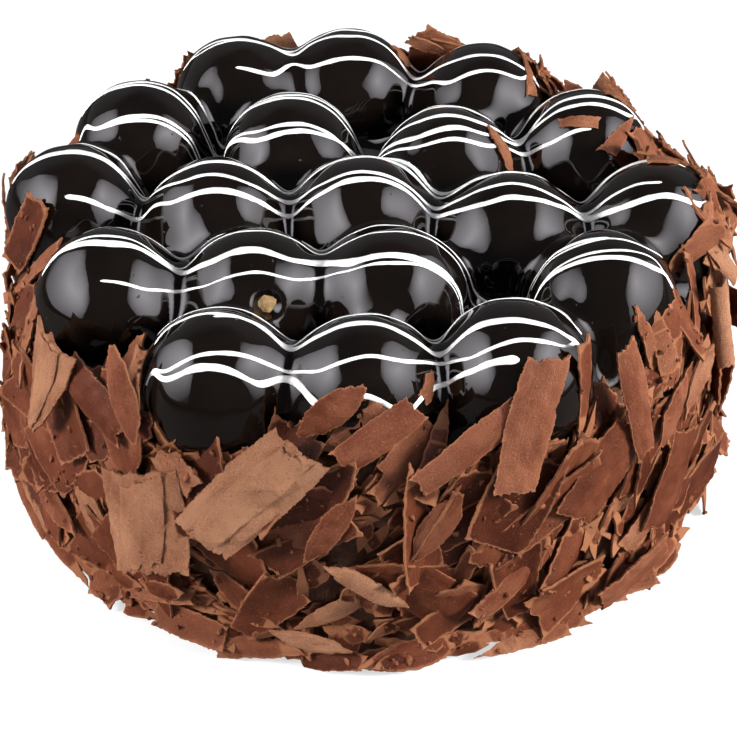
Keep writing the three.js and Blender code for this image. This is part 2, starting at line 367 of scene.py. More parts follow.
def sponge_paint():
    """The drum's plain cream, seen from below."""
    paint = Paint("cake_sponge", Roughness=0.8)
    here = paint.here()
    crumb = paint.noise(here, 420.0, 6.0, 0.7)
    colour = paint.ramp(crumb, (0.3, (0.05, 0.021, 0.012)), (0.7, (0.11, 0.05, 0.03)))
    return paint.to(Base_Color=colour, Normal=paint.bump(crumb, 0.001, 0.8))


def shaved_paint():
    """Shaved milk chocolate.  'grain' holds a place on the shaving in mm, across and along it, 'tone'
    its shade from dark to light, and 'rim' grows to 1 at its broken edges."""
    paint = Paint("shaved_chocolate", IOR=1.46, Specular_IOR_Level=0.20)
    grain = paint.attribute("grain", "Vector")
    tone = paint.attribute("tone")
    rim = paint.attribute("rim")
    scrape = paint.noise(paint.scaled(grain, (1.9, 0.14, 1.0)), 1.0, 3.0, 0.6)
    broad = paint.noise(paint.scaled(grain, (0.14, 0.07, 1.0)), 1.0, 3.0)
    sand = paint.noise(grain, 1.6, 4.0, 0.80)
    grit = paint.math("MULTIPLY_ADD", tone, 0.66, 0.20)
    shade = tone
    for layer, weight in ((broad, 0.66), (scrape, 0.14)):
        shade = paint.math("MULTIPLY_ADD", layer, weight, paint.math("SUBTRACT", shade, weight / 2))
    shade = paint.math("MULTIPLY_ADD", paint.math("SUBTRACT", sand, 0.5), grit, shade)
    colour = paint.ramp(
        shade,
        (0.0, (0.046, 0.0100, 0.0042)), (0.33, (0.120, 0.0315, 0.0135)),
        (0.66, (0.240, 0.085, 0.043)), (1.0, (0.48, 0.225, 0.122)))
    specks = paint.ramp(sand, (0.63, 0.0), (0.67, 1.0))
    colour = paint.mix(paint.math("MULTIPLY", specks, 0.50), colour, (0.52, 0.26, 0.14))
    # Small near-black spots: painted shade standing in for tiny pits, which have no relief of their own.
    pit_shade = paint.ramp(paint.noise(grain, 0.9, 2.0, 0.5), (0.26, 1.0), (0.30, 0.0))
    colour = paint.mix(paint.math("MULTIPLY", pit_shade, 0.6), colour, (0.045, 0.012, 0.006))
    # Broken edges are lightened: partly the paler broken chocolate, partly a painted highlight where the
    # edges catch the light.
    edge = paint.ramp(rim, (0.72, 0.0), (0.98, 1.0))
    colour = paint.mix(paint.math("MULTIPLY", edge, 0.52), colour, (0.40, 0.165, 0.080))
    rough = paint.math("MULTIPLY_ADD", tone, 0.24, 0.34)
    pits = paint.bump(sand, 0.0023, paint.math("MULTIPLY_ADD", tone, 0.6, 0.25))
    return paint.to(Base_Color=colour, Roughness=rough, Normal=paint.bump(scrape, 0.0003, 0.4, pits))


GLAZE = glaze_paint()
DRIZZLE = drizzle_paint()
CHOUX = choux_paint()
CREAM = cream_paint()
SPONGE = sponge_paint()
SHAVED = shaved_paint()


# ---------------------------------------------------------------- camera, floor and light

CAMERA_LENS = 105
SENSOR_WIDTH = 36
CAMERA_ELEVATION = 37.4
CAMERA_DISTANCE = 752
CAMERA_SHIFT = (1.4, 18.2)
CAMERA_ROLL = -0.7
FLOOR_REACH = 4.0
FLOOR_DEPTH = 0.0002
FLOOR_GLOW = 0.62
LILAC = (0.97, 0.93, 1.0)
COOL = (0.95, 0.99, 1.0)
CAKE_MIDDLE = (0, 0, 0.06)


def stand_camera():
    data = bpy.data.cameras.new("camera")
    data.lens = CAMERA_LENS
    data.sensor_width = SENSOR_WIDTH
    camera = put("camera", data)
    tilt = Matrix.Rotation(math.radians(90 - CAMERA_ELEVATION), 4, "X")
    roll = Matrix.Rotation(math.radians(CAMERA_ROLL), 4, "Z")
    across, up = CAMERA_SHIFT
    place = tilt @ Vector((across, up, CAMERA_DISTANCE)) * MM
    camera.matrix_world = Matrix.Translation(place) @ tilt @ roll
    bpy.context.scene.camera = camera


def lay_floor():
    """A pale floor just under the cake, which the glaze sees as dark."""
    paint = Paint("studio_floor", Roughness=0.8, Emission_Color=(1, 1, 1, 1))
    path = paint.node("ShaderNodeLightPath").outputs
    colour = paint.mix(path["Is Glossy Ray"], (0.42, 0.42, 0.415), (0.05, 0.05, 0.05))
    paint.to(Base_Color=colour, Emission_Strength=paint.math("MULTIPLY", path["Is Camera Ray"], FLOOR_GLOW))
    mesh = bpy.data.meshes.new("studio_floor")
    corners = [(FLOOR_REACH * x, FLOOR_REACH * y, 0) for x, y in ((-1, -1), (1, -1), (1, 1), (-1, 1))]
    mesh.from_pydata(corners, [], [(0, 1, 2, 3)])
    floor = piece_from(mesh, "studio_floor", paint.material)
    floor.location.z = -FLOOR_DEPTH


def soften_edges(data):
    """Lets a rectangular light fade from its middle to its ends."""
    data.use_nodes = True
    tree = data.node_tree
    tree.nodes.clear()
    spot = add(tree, "ShaderNodeNewGeometry").outputs["Parametric"]
    away = add(tree, "ShaderNodeVectorMath", {0: spot, 1: (0.5, 0.5, 0)}, operation="DISTANCE")
    strength = get(tree, "ShaderNodeMapRange", {
        "Value": away.outputs["Value"], "From Min": 0.0, "From Max": 0.65, "To Min": 1.9, "To Max": 0.05})
    emission = get(tree, "ShaderNodeEmission", {"Strength": strength})
    add(tree, "ShaderNodeOutputLight", {"Surface": emission})


def softbox(name, place, aim, size, radiance, tint=(1, 1, 1), reflects=True, lights=True):
    """A rectangular light at place, turned to face aim; lengths in metres."""
    data = bpy.data.lights.new(name, "AREA")
    data.shape = "RECTANGLE"
    data.size, data.size_y = size
    data.energy = radiance * math.pi * size[0] * size[1]
    data.color = tint
    soften_edges(data)
    light = put(name, data)
    light.location = place
    light.rotation_euler = (Vector(aim) - Vector(place)).to_track_quat("-Z", "Y").to_euler()
    light.visible_glossy = reflects
    light.visible_diffuse = lights
    light.visible_camera = False


def hang_lights():
    """Two upright walls of a light tent that only show in the glaze, a smaller lamp in front of each
    that lights the chocolate, and a front fill."""
    softbox("left_wall", place=(-0.55, -0.19, 0.55), aim=(0, -0.19, 0.55), size=(1.10, 0.88),
            radiance=3.9, tint=LILAC, lights=False)
    softbox("right_wall", place=(0.55, -0.15, 0.57), aim=(0, -0.15, 0.57), size=(1.00, 0.90),
            radiance=3.8, tint=LILAC, lights=False)
    softbox("left_key", place=(-1.02, -0.32, 0.48), aim=CAKE_MIDDLE, size=(0.34, 0.34),
            radiance=68.0, reflects=False)
    softbox("right_key", place=(1.02, -0.32, 0.50), aim=CAKE_MIDDLE, size=(0.34, 0.34),
            radiance=106.0, tint=COOL, reflects=False)
    softbox("front_fill", place=(0.0, -1.3, 0.8), aim=(0, 0, 0.07), size=(1.2, 0.8),
            radiance=0.13, reflects=False)


def light_world():
    """A white background.  The glaze sees it as dim, with a soft glow low behind the cake."""
    world = bpy.data.worlds.new("studio")
    bpy.context.scene.world = world
    world.use_nodes = True
    tree = world.node_tree
    tree.nodes.clear()
    path = add(tree, "ShaderNodeLightPath").outputs
    towards = add(tree, "ShaderNodeTexCoord").outputs["Generated"]
    way = add(tree, "ShaderNodeSeparateXYZ", {0: towards}).outputs
    behind = get(tree, "ShaderNodeMapRange", {"Value": way["Y"], "From Min": 0.25, "From Max": 0.65})
    low = get(tree, "ShaderNodeMapRange", {"Value": way["Z"], "From Min": 0.80, "From Max": 0.60})
    glow = calculate(tree, "MULTIPLY", behind, low)
    strength = calculate(tree, "MULTIPLY_ADD", glow, 0.12, 0.07)
    strength = calculate(tree, "MULTIPLY_ADD", path["Is Diffuse Ray"], 0.17, strength)
    dim = get(tree, "ShaderNodeBackground", {"Color": (0.96, 0.95, 1.0, 1), "Strength": strength})
    white = get(tree, "ShaderNodeBackground", {"Color": (1, 1, 1, 1), "Strength": 1.0})
    both = get(tree, "ShaderNodeMixShader", {0: path["Is Camera Ray"], 1: dim, 2: white})
    add(tree, "ShaderNodeOutputWorld", {"Surface": both})
    bpy.context.scene.view_settings.view_transform = "Standard"


# ---------------------------------------------------------------- glaze

GLAZE_THICKNESS = 1.4
GLAZE_SWELL = 0.4
GLAZE_BLEND = 4.6
RUN_BLEND = 1.6
POOL_TOP = 72.5
POOL_RADIUS = 106.0
GLAZE_FLOOR = 66.3
GLAZE_STEP = 1.15
GLAZE_MARGIN = 5
# The height of each kind of bump, how far apart they are, and its seed
GLAZE_BUMPS = [(0.40, 31, 3), (0.09, 10, 4)]

# Spots where the glaze has run off and the choux shows: the puff's number, the turn from its front
# and the tilt above level, and how wide the spot is
BARE_SPOTS = [
    (14, 15, 30, 3.5),
    (18, -25, -15, 5.5),
    (18, 20, -15, 5.5),
    (18, 55, -15, 4.5),
    (16, 30, -20, 6.0),
]
BARE_DEPTH = 3.4

# Tongues of glaze that have run over the rim: the puff's number, the turn from its front, and the
# radius at the tongue's root.  They narrow to RUN_TIP of it.
GLAZE_RUNS = [
    (16, 0, 3.6),
    (17, 40, 3.0),
    (12, 100, 3.2),
    (2, 160, 3.6),
    (4, -130, 3.4),
]
RUN_TIP = 0.72
RUN_ROOT_TILT = -12
RUN_TIP_TILT = -26
RUN_REACH = 1.3


def on_puff(number, turn, tilt, reach=1.0):
    """A point on a numbered puff, at a turn from its front and a tilt above level, in degrees."""
    turn = math.radians(turn)
    tilt = math.radians(tilt)
    level = math.cos(tilt)
    way = np.array([math.sin(turn) * level, -math.cos(turn) * level, math.sin(tilt)])
    return PUFF_CENTRES[number - 1] + reach * PUFF_RADII[number - 1] * way


def taper(points, start, end, start_radius, end_radius):
    """Distance in mm from a rounded rod with a different radius at each end."""
    along = np.clip((points - start) @ (end - start) / ((end - start) @ (end - start)), 0, 1)
    centre = start + along[..., None] * (end - start)
    radius = start_radius + along * (end_radius - start_radius)
    return np.linalg.norm(points - centre, axis=-1) - radius


def nearness(distance, blend, deep=-12, far=40):
    """Grows as a point comes nearer: the sum over several shapes makes their soft union."""
    return np.exp(-np.clip(distance / blend, deep, far))


def glaze_field(points):
    """Distance in mm from the glaze's surface, negative inside: a soft union of the coated puffs, the
    pool between them and the runs at the rim."""
    pool = np.maximum(points[..., 2] - POOL_TOP, np.hypot(points[..., 0], points[..., 1]) - POOL_RADIUS)
    total = nearness(pool, GLAZE_BLEND)
    for centre, radius in zip(PUFF_CENTRES, PUFF_RADII + GLAZE_SWELL):
        total += nearness(np.linalg.norm(points - centre, axis=-1) - radius, GLAZE_BLEND)
    field = -GLAZE_BLEND * np.log(total)
    for number, turn, root in GLAZE_RUNS:
        start = on_puff(number, turn, RUN_ROOT_TILT)
        end = on_puff(number, turn, RUN_TIP_TILT, RUN_REACH)
        run = taper(points, start, end, root, root * RUN_TIP)
        joined = nearness(field, RUN_BLEND, -30, 30) + nearness(run, RUN_BLEND, -30, 30)
        field = np.where(np.abs(field) < 30, -RUN_BLEND * np.log(joined), field)
    field -= bumps(points, *GLAZE_BUMPS)
    for number, turn, tilt, width in BARE_SPOTS:
        away = np.linalg.norm(points - on_puff(number, turn, tilt), axis=-1)
        field += BARE_DEPTH * np.exp(-(away / width) ** 3)
    return field


def surface_net(values, low, step):
    """Points and quads of the surface where a field on a grid changes sign."""
    filled = values < 0
    wide, deep, high = np.array(filled.shape) - 1
    corners = [filled[i:wide + i, j:deep + j, k:high + k] for i in (0, 1) for j in (0, 1) for k in (0, 1)]
    count = sum(corner.astype(np.int8) for corner in corners)
    mixed = (count > 0) & (count < 8)
    index = np.full(mixed.shape, -1)
    index[mixed] = np.arange(mixed.sum())
    cells = np.argwhere(mixed)
    total = np.zeros((len(cells), 3))
    hits = np.zeros(len(cells))
    units = np.eye(3, dtype=int)
    for axis in range(3):
        first, second = (units[other] for other in range(3) if other != axis)
        for corner in (0 * first, first, second, first + second):
            start = cells + corner
            before = values[tuple(start.T)]
            after = values[tuple((start + units[axis]).T)]
            crossed = (before < 0) != (after < 0)
            share = before[crossed] / (before[crossed] - after[crossed])
            total[crossed] += start[crossed] + share[:, None] * units[axis]
            hits[crossed] += 1
    quads = []
    for axis in range(3):
        near = np.take(filled, range(filled.shape[axis] - 1), axis)
        far = np.take(filled, range(1, filled.shape[axis]), axis)
        first, second = (units[other] for other in ((axis + 1) % 3, (axis + 2) % 3))
        for change, order in ((near & ~far, (0, 1, 2, 3)), (far & ~near, (3, 2, 1, 0))):
            edges = np.argwhere(change)
            edges = edges[(edges @ first > 0) & (edges @ second > 0)]
            ring = [edges - first - second, edges - second, edges, edges - first]
            fits = np.all([np.all(cell < mixed.shape, axis=1) for cell in ring], axis=0)
            quads.append(np.stack([index[tuple(ring[k][fits].T)] for k in order], axis=1))
    return low + step * total / hits[:, None], np.concatenate(quads)


def settle_on(field, points, steps=3):
    """Moves points along the field's slope onto its surface."""
    nudge = 0.05 * np.eye(3)
    for _ in range(steps):
        slope = np.stack([field(points + n) - field(points - n) for n in nudge], axis=-1) / 0.1
        size = np.maximum((slope ** 2).sum(-1, keepdims=True), 0.05)
        points = points - np.clip(field(points)[..., None] * slope / size, -0.8, 0.8)
    return points


def flatten_foot(mesh):
    """Brings the open lower edge of the glaze down to its floor on the drum."""
    work = bmesh.new()
    work.from_mesh(mesh)
    for vertex in work.verts:
        if vertex.is_boundary:
            vertex.co.z = GLAZE_FLOOR * MM
    work.to_mesh(mesh)
    work.free()


def pour_glaze():
    """The glaze as one closed piece, meshed on a grid and settled onto its field."""
    reach = float(np.max(np.hypot(*PUFF_CENTRES[:, :2].T) + PUFF_RADII)) + GLAZE_MARGIN
    low = np.array([-reach, -reach, GLAZE_FLOOR])
    top = PUFF_HEIGHT + PUFF_RADII.max() + GLAZE_MARGIN
    spans = (2 * reach, 2 * reach, top - GLAZE_FLOOR)
    ticks = [np.arange(int(span / GLAZE_STEP)) for span in spans]
    grid = low + GLAZE_STEP * np.stack(np.meshgrid(*ticks, indexing="ij"), axis=-1)
    points, quads = surface_net(glaze_field(grid), low, GLAZE_STEP)
    points = settle_on(glaze_field, points)
    mesh = mesh_from("glaze", points, quads)
    flatten_foot(mesh)
    close_holes(mesh)
    glaze = piece_from(mesh, "glaze", GLAZE)
    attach(glaze, "root")
    return glaze


# ---------------------------------------------------------------- drizzle

DRIZZLE_START = 135.0
DRIZZLE_STEP = 0.8
ROW_COUNTS = (3, 4, 5, 4, 3)

# The drizzle swings to and fro along each row of puffs.  For each row, from the back of the cake: how
# far behind the puffs' middles it turns, at the left end and the right end in turn
SWING_ENDS = [
    (16, 11, 3, -7, -12),
    (17, 12, 4, -2, -13, -9),
    (17, 13, 2, -5, -14),
    (16, 9, -1, -7, -15),
    (15, 11, 2, -4, -14, -17),
]
SWING_WIDTHS = (0.7, 2.5)
DIP_SHARE = 0.62
SHOULDER_SHARE = 0.96
SHOULDER_REACH = 0.55
END_REACH = 0.78
TURN_REACH = 2.2
LIFT_SHARE = 0.3
HAND_WOBBLE = 0.35
PUFF_WOBBLE = 2.2


def swing(row, left, right, rng):
    """The points that one swing passes over, from how far behind the middles of a row of puffs it is
    at the left end to how far at the right end."""
    centres = PUFF_CENTRES[row, :2]
    radii = PUFF_RADII[row]
    stops = [(centres[0] + (-END_REACH * radii[0], 0), DIP_SHARE)]
    for place, (centre, radius) in enumerate(zip(centres, radii)):
        shoulder = (SHOULDER_REACH * radius, 0)
        aside = (0, rng.normal(0, PUFF_WOBBLE))
        stops += [(centre - shoulder + aside, SHOULDER_SHARE), (centre + aside, 1.0),
                  (centre + shoulder + aside, SHOULDER_SHARE)]
        if place + 1 < len(centres):
            stops.append(((centre + centres[place + 1]) / 2, DIP_SHARE))
    stops.append((centres[-1] + (END_REACH * radii[-1], 0), DIP_SHARE))
    points = np.array([point for point, _ in stops])
    shares = np.array([share for _, share in stops])
    offsets = np.interp(points[:, 0], points[[0, -1], 0], (left, right))
    points[:, 1] += shares * offsets + rng.normal(0, HAND_WOBBLE, len(points))
    return points


def drizzle_lines():
    """Strokes to and fro over each row, the width and the place of each of their points.  Now and then
    the hand lifts, and a stroke ends on a puff."""
    rng = np.random.default_rng(41)
    lines = []
    first = 0
    for count, ends in zip(ROW_COUNTS, SWING_ENDS):
        row = np.arange(first, first + count)
        first += count
        route, widths = [], []
        for number, (start, end) in enumerate(zip(ends, ends[1:])):
            rightwards = number % 2 == 0
            left, right = (start, end) if rightwards else (end, start)
            points = swing(row, left, right, rng)
            points = points if rightwards else points[::-1]
            lifted = rng.random() < LIFT_SHARE or number == len(ends) - 2
            if lifted:
                points = points[:-2]
            else:
                bend = points[-1] + ((1 if rightwards else -1) * TURN_REACH, -TURN_REACH / 2)
                points = np.vstack([points, bend])
            route.append(points)
            widths += list(rng.uniform(*SWING_WIDTHS) * rng.uniform(0.75, 1.25, len(points)))
            if lifted:
                lines.append((widths, np.concatenate(route)))
                route, widths = [], []
    return lines


def drizzle_tree():
    """Drops each line straight down onto the glaze and gives it a low rounded section, thinner where
    it runs downhill and rounded off at its ends."""
    tree, inputs = start_tree("pour_drizzle", [
        ("Glaze", "Object", None), ("Step", "Float", DRIZZLE_STEP * MM),
        ("Flatness", "Float", 0.27), ("Material", "Material", None)])
    glaze = add(tree, "GeometryNodeObjectInfo", {"Object": inputs["Glaze"]}).outputs["Geometry"]
    curve = get(tree, "GeometryNodeMeshToCurve", {"Mesh": inputs["Geometry"]})
    curve = get(tree, "GeometryNodeCurveSplineType", {"Curve": curve}, spline_type="CATMULL_ROM")
    curve = get(tree, "GeometryNodeResampleCurve", {"Curve": curve, "Length": inputs["Step"]}, mode="LENGTH")
    place = split(tree, "GeometryNodeInputPosition")
    above = get(tree, "ShaderNodeCombineXYZ", {"X": place["X"], "Y": place["Y"], "Z": DRIZZLE_START * MM})
    fall = add(tree, "GeometryNodeRaycast", {
        "Target Geometry": glaze, "Source Position": above, "Ray Direction": (0, 0, -1),
        "Ray Length": 0.1}).outputs
    missed = get(tree, "FunctionNodeBooleanMath", {0: fall["Is Hit"]}, operation="NOT")
    curve = get(tree, "GeometryNodeDeleteGeometry", {"Geometry": curve, "Selection": missed})
    curve = get(tree, "GeometryNodeSetPosition", {"Geometry": curve, "Position": fall["Hit Position"]})
    curve = get(tree, "GeometryNodeSetCurveNormal", {
        "Curve": curve, "Normal": fall["Hit Normal"]}, mode="FREE")
    downhill = split(tree, "GeometryNodeInputTangent")["Z"]
    lean = calculate(tree, "MULTIPLY_ADD", calculate(tree, "MULTIPLY", downhill, downhill), -0.6, 1.0)
    flow = get(tree, "ShaderNodeTexNoise", {"Scale": 170.0, "Detail": 1.0})
    flow = calculate(tree, "MULTIPLY_ADD", flow, 0.7, 0.65)
    width = calculate(tree, "MULTIPLY", read(tree, "width"), MM)
    full = calculate(tree, "MULTIPLY", width, calculate(tree, "MULTIPLY", lean, flow))
    past = add(tree, "GeometryNodeSplineParameter").outputs["Length"]
    left = calculate(tree, "SUBTRACT", get(tree, "GeometryNodeSplineLength"), past)
    tip = calculate(tree, "DIVIDE", calculate(tree, "MINIMUM", past, left), width)
    tip = calculate(tree, "MAXIMUM", calculate(tree, "MINIMUM", tip, 1.0), 0.04)
    tip = calculate(tree, "SQRT", calculate(tree, "MULTIPLY", tip, calculate(tree, "SUBTRACT", 2.0, tip)))
    ring = get(tree, "GeometryNodeCurvePrimitiveCircle", {"Resolution": 10, "Radius": 0.5})
    flat = get(tree, "ShaderNodeCombineXYZ", {"X": inputs["Flatness"], "Y": 1.0, "Z": 1.0})
    section = get(tree, "GeometryNodeTransform", {"Geometry": ring, "Scale": flat})
    ribbon = get(tree, "GeometryNodeCurveToMesh", {
        "Curve": curve, "Profile Curve": section, "Scale": calculate(tree, "MULTIPLY", full, tip),
        "Fill Caps": True})
    finish_tree(tree, get(tree, "GeometryNodeSetShadeSmooth", {"Geometry": ribbon}), inputs["Material"])
    return tree


def pour_drizzle(glaze):
    """All the strokes as one piece, poured from above onto the glaze."""
    points, edges, widths = [], [], []
    for line_widths, route in drizzle_lines():
        first = len(points)
        points += [(x * MM, y * MM, DRIZZLE_START * MM) for x, y in route]
        edges += [(first + i, first + i + 1) for i in range(len(route) - 1)]
        widths += line_widths
    mesh = bpy.data.meshes.new("drizzle_lines")
    mesh.from_pydata(points, edges, [])
    store(mesh, "width", "FLOAT", widths)
    drizzle = grow(piece_from(mesh, "drizzle_lines"), drizzle_tree(),
                   {"Glaze": glaze, "Material": DRIZZLE}, "drizzle")
    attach(drizzle, "root")


# ---------------------------------------------------------------- choux puffs

NUB_HEIGHT = 1.6
CRUST_DEPTH = 0.45
SEAT_GAP = 0.3


def bake_puffs():
    """Each puff as a crackled choux ball, flat where it sits, that stands up in the bare spots."""
    for index, node in enumerate(PUFF_NODES):
        bare = any(number == index + 1 for number, *_ in BARE_SPOTS)
        mesh, ball = ball_mesh(node, 5 if bare else 4)
        place = PUFF_CENTRES[index] + ball * (PUFF_RADII[index] - GLAZE_THICKNESS)
        crackle = np.abs(waves(place, 9, 20 + index)) * 0.5 + 0.25 * waves(place, 3.5, 50 + index)
        for number, turn, tilt, width in BARE_SPOTS:
            if number == index + 1:
                away = np.linalg.norm(place - on_puff(number, turn, tilt), axis=1)
                lumps = 0.9 + 0.6 * waves(place, 1.7, 80 + index)
                crackle += NUB_HEIGHT * lumps * np.exp(-(1.2 * away / width) ** 2)
        place = place + ball * (crackle - CRUST_DEPTH)[:, None]
        place[:, 2] = np.maximum(place[:, 2], BODY_TOP + SEAT_GAP)
        mesh.vertices.foreach_set("co", (place * MM).ravel())
        puff = piece_from(smooth(mesh), "choux_" + node, CHOUX)
        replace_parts(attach(puff, "root"), node)


# ---------------------------------------------------------------- the side of the cake

CREAM_RADIUS = 114.0
CREAM_FOOT = 0.6
CREAM_SHOULDER = 66
CREAM_BEND = 7
# The space between the drum and the cream
CREAM_GAP = 0.4
# How far from the axis the cream's flat top begins and ends
CREAM_LEDGE = (105.0, 98.0)
CREAM_INNER_MIDDLE = 50.0
CREAM_SIDES = 480
CREAM_BUMPS = [(0.8, 17, 8), (0.5, 6, 9), (0.45, 2.6, 10)]
FLARE_HEIGHT = 9.0
CREAM_FLARE = 2.5
HEAP_FLARE = 8.0
TURNS = 720
HEIGHTS = np.arange(0.0, 112.0, 1.0)
# Above OPEN_HEIGHT the side steps in to OPEN_RADIUS, except where glaze is met further out
OPEN_HEIGHT = 72
OPEN_RADIUS = 92.0
GLAZE_REACHES = np.arange(94, 120, 0.75)
NO_LID = 200.0


def on_wall(turn, height, radius):
    """Points in mm from a turn in degrees, a height and a distance from the axis."""
    angle = np.radians(turn)
    return np.stack([radius * np.sin(angle), -radius * np.cos(angle), height + 0 * angle], axis=-1)


def flared(height, flare):
    """How far out the side reaches at a height: it spreads at the foot."""
    return CREAM_RADIUS + flare * np.exp(-np.asarray(height) / FLARE_HEIGHT)


def round_shoulder(centre, height, bend, angles):
    """A quarter round about a distance from the axis and a height, as (radius, height) points."""
    return [(centre + bend * math.cos(angle), height + bend * math.sin(angle)) for angle in angles]


def spread_cream():
    """A rough sleeve of cream over the drum's side and shoulder, up to the glaze."""
    inner = BODY_RADIUS + CREAM_GAP
    shoulder = BODY_TOP + CREAM_GAP
    bend = np.linspace(0, math.pi / 2, 7)[1:]
    path = [(inner, CREAM_FOOT), (flared(CREAM_FOOT, CREAM_FLARE), CREAM_FOOT)]
    path += [(flared(z, CREAM_FLARE), z) for z in np.linspace(2.5, CREAM_SHOULDER, 44)]
    path += round_shoulder(CREAM_RADIUS - CREAM_BEND, CREAM_SHOULDER, CREAM_BEND, bend)
    path += [(r, CREAM_SHOULDER + CREAM_BEND) for r in np.linspace(*CREAM_LEDGE, 4)]
    path += [(CREAM_LEDGE[1], shoulder), (BODY_RADIUS - CREAM_BEND, shoulder)]
    path += round_shoulder(
        BODY_RADIUS - CREAM_BEND, BODY_TOP - CREAM_BEND, CREAM_BEND + CREAM_GAP, bend[::-1])
    path += [(inner, CREAM_INNER_MIDDLE)]
    path = np.array(path)
    turn = np.linspace(0, 360, CREAM_SIDES, endpoint=False)
    radius, angle = np.meshgrid(path[:, 0], turn)
    points = on_wall(angle, path[:, 1][None, :], radius)
    outward = np.stack([np.sin(np.radians(angle)), -np.cos(np.radians(angle)), 0 * angle], axis=-1)
    outer = (radius > BODY_RADIUS + 1)[..., None]
    points = points + outward * outer * bumps(points, *CREAM_BUMPS)[..., None]
    rows = len(path)
    first = (np.arange(CREAM_SIDES) * rows)[:, None] + np.arange(rows)[None, :]
    beside = np.roll(first, -1, axis=0)
    quads = np.stack([first, beside, np.roll(beside, -1, axis=1), np.roll(first, -1, axis=1)], axis=-1)
    mesh = mesh_from("chocolate_cream", points.reshape(-1, 3), quads.reshape(-1, 4))
    close_holes(mesh)
    cream = piece_from(mesh, "chocolate_cream", CREAM)
    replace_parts(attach(cream, "root"), "shavings_coat")


class Side:
    """How far out the cake's side reaches at each turn and height, as shavings are laid on it."""

    def __init__(self):
        turn = np.arange(TURNS) * 360 / TURNS
        self.reach = np.tile(flared(HEIGHTS, HEAP_FLARE) + CREAM_GAP, (TURNS, 1))
        angle, height = np.meshgrid(turn, HEIGHTS, indexing="ij")
        self.reach[height > OPEN_HEIGHT] = OPEN_RADIUS
        above = height > CREAM_SHOULDER
        for radius in GLAZE_REACHES:
            solid = glaze_field(on_wall(angle[above], height[above], radius)) < 0
            column = self.reach[above]
            column[solid] = np.maximum(column[solid], radius)
            self.reach[above] = column
        self.lid = np.full(self.reach.shape, NO_LID)

    def cells(self, points):
        """The column and row that each point falls in."""
        turn = np.degrees(np.arctan2(points[:, 0], -points[:, 1]))
        column = np.round(turn * TURNS / 360).astype(int) % TURNS
        row = np.clip(np.round(points[:, 2]).astype(int), 0, len(HEIGHTS) - 1)
        return column, row

    def cover(self, points):
        """Nothing laid later may reach these points."""
        column, row = self.cells(points)
        np.minimum.at(self.lid, (column, row), np.hypot(points[:, 0], points[:, 1]) - 0.4)

    def stack(self, points, thickness):
        """Moves the side out to these points and a thickness past them."""
        column, row = self.cells(points)
        np.maximum.at(self.reach, (column, row), np.hypot(points[:, 0], points[:, 1]) + thickness)


# ---------------------------------------------------------------- outlines of shavings

# Corners of each kind as shares of its width and length, walked round with the shaving on the left,
# and how torn the side after each corner is
KINDS = {
    "plank": [(-0.48, -0.50, 1.0), (0.46, -0.46, 0.15), (0.50, 0.42, 1.0), (-0.42, 0.50, 0.15)],
    "stepped": [(-0.50, -0.50, 0.8), (0.08, -0.46, 0.3), (0.16, -0.27, 0.9), (0.50, -0.22, 0.15),
                (0.44, 0.50, 1.0), (-0.40, 0.40, 0.2)],
    "wedge": [(-0.10, -0.50, 0.5), (0.10, -0.47, 0.2), (0.50, 0.34, 0.8), (0.22, 0.50, 0.9),
              (-0.50, 0.38, 0.2)],
    "leaf": [(-0.06, -0.50, 0.1), (0.26, -0.30, 0.1), (0.48, 0.02, 0.15), (0.40, 0.28, 0.15),
             (0.06, 0.50, 0.15), (-0.30, 0.34, 0.1), (-0.46, 0.04, 0.1), (-0.36, -0.28, 0.15)],
    "sickle": [(0.20, -0.50, 0.1), (0.42, -0.22, 0.1), (0.44, 0.12, 0.1), (0.16, 0.50, 0.3),
               (-0.14, 0.22, 0.6), (-0.44, -0.10, 0.4), (-0.20, -0.40, 0.3)],
    "shard": [(-0.46, -0.42, 0.8), (0.40, -0.50, 0.2), (0.28, 0.10, 0.3), (0.06, 0.50, 0.2)],
    "broken": [(-0.34, -0.50, 0.9), (0.28, -0.44, 0.4), (0.50, 0.02, 0.7), (0.22, 0.50, 0.9),
               (-0.20, 0.40, 0.5), (-0.50, 0.08, 0.3)],
    "fan": [(-0.22, -0.50, 0.6), (0.24, -0.48, 0.2), (0.50, 0.30, 0.5), (0.26, 0.34, 0.2),
            (0.24, 0.50, 0.8), (-0.10, 0.44, 0.3), (-0.16, 0.30, 0.6), (-0.50, 0.36, 0.2)],
}
# How far the fine fray of an edge strays, in mm
FRAY = 0.13


def torn(path, gap, depth, rng):
    """An irregular zigzag along a path: how deep each place is bitten in, in mm."""
    knots = np.cumsum(rng.uniform(0.45, 1.55, int(path[-1] / gap) * 2 + 4)) * gap - gap
    bites = rng.uniform(0.15, 1, len(knots)) * depth * (np.arange(len(knots)) % 2)
    return np.interp(path, knots, bites)


def outline(corners, step, rng):
    """A closed outline in mm with a point about every step.  Each corner is (across, along, tear)."""
    places = np.array([corner[:2] for corner in corners])
    ring = []
    for place, ahead, tear in zip(places, np.roll(places, -1, axis=0), [corner[2] for corner in corners]):
        way = ahead - place
        length = np.linalg.norm(way)
        count = max(2, round(length / step))
        share = np.arange(count) / count
        inward = np.array([-way[1], way[0]]) / length
        along = share * length
        fade = np.minimum(1, np.sin(math.pi * share) * length / 4)
        bite = torn(along, 0.9 * max(1, step), 0.85 * tear, rng) + torn(along, 3.2, 1.7 * tear, rng)
        bite += torn(along, 7.5, 0.5, rng) * rng.uniform(0, 1) + FRAY * rng.normal(size=len(share))
        belly = 0.035 * length * (1 - tear) * np.sin(math.pi * share)
        ring.append(place + way * share[:, None] + inward * (bite * fade - belly)[:, None])
    return np.concatenate(ring)


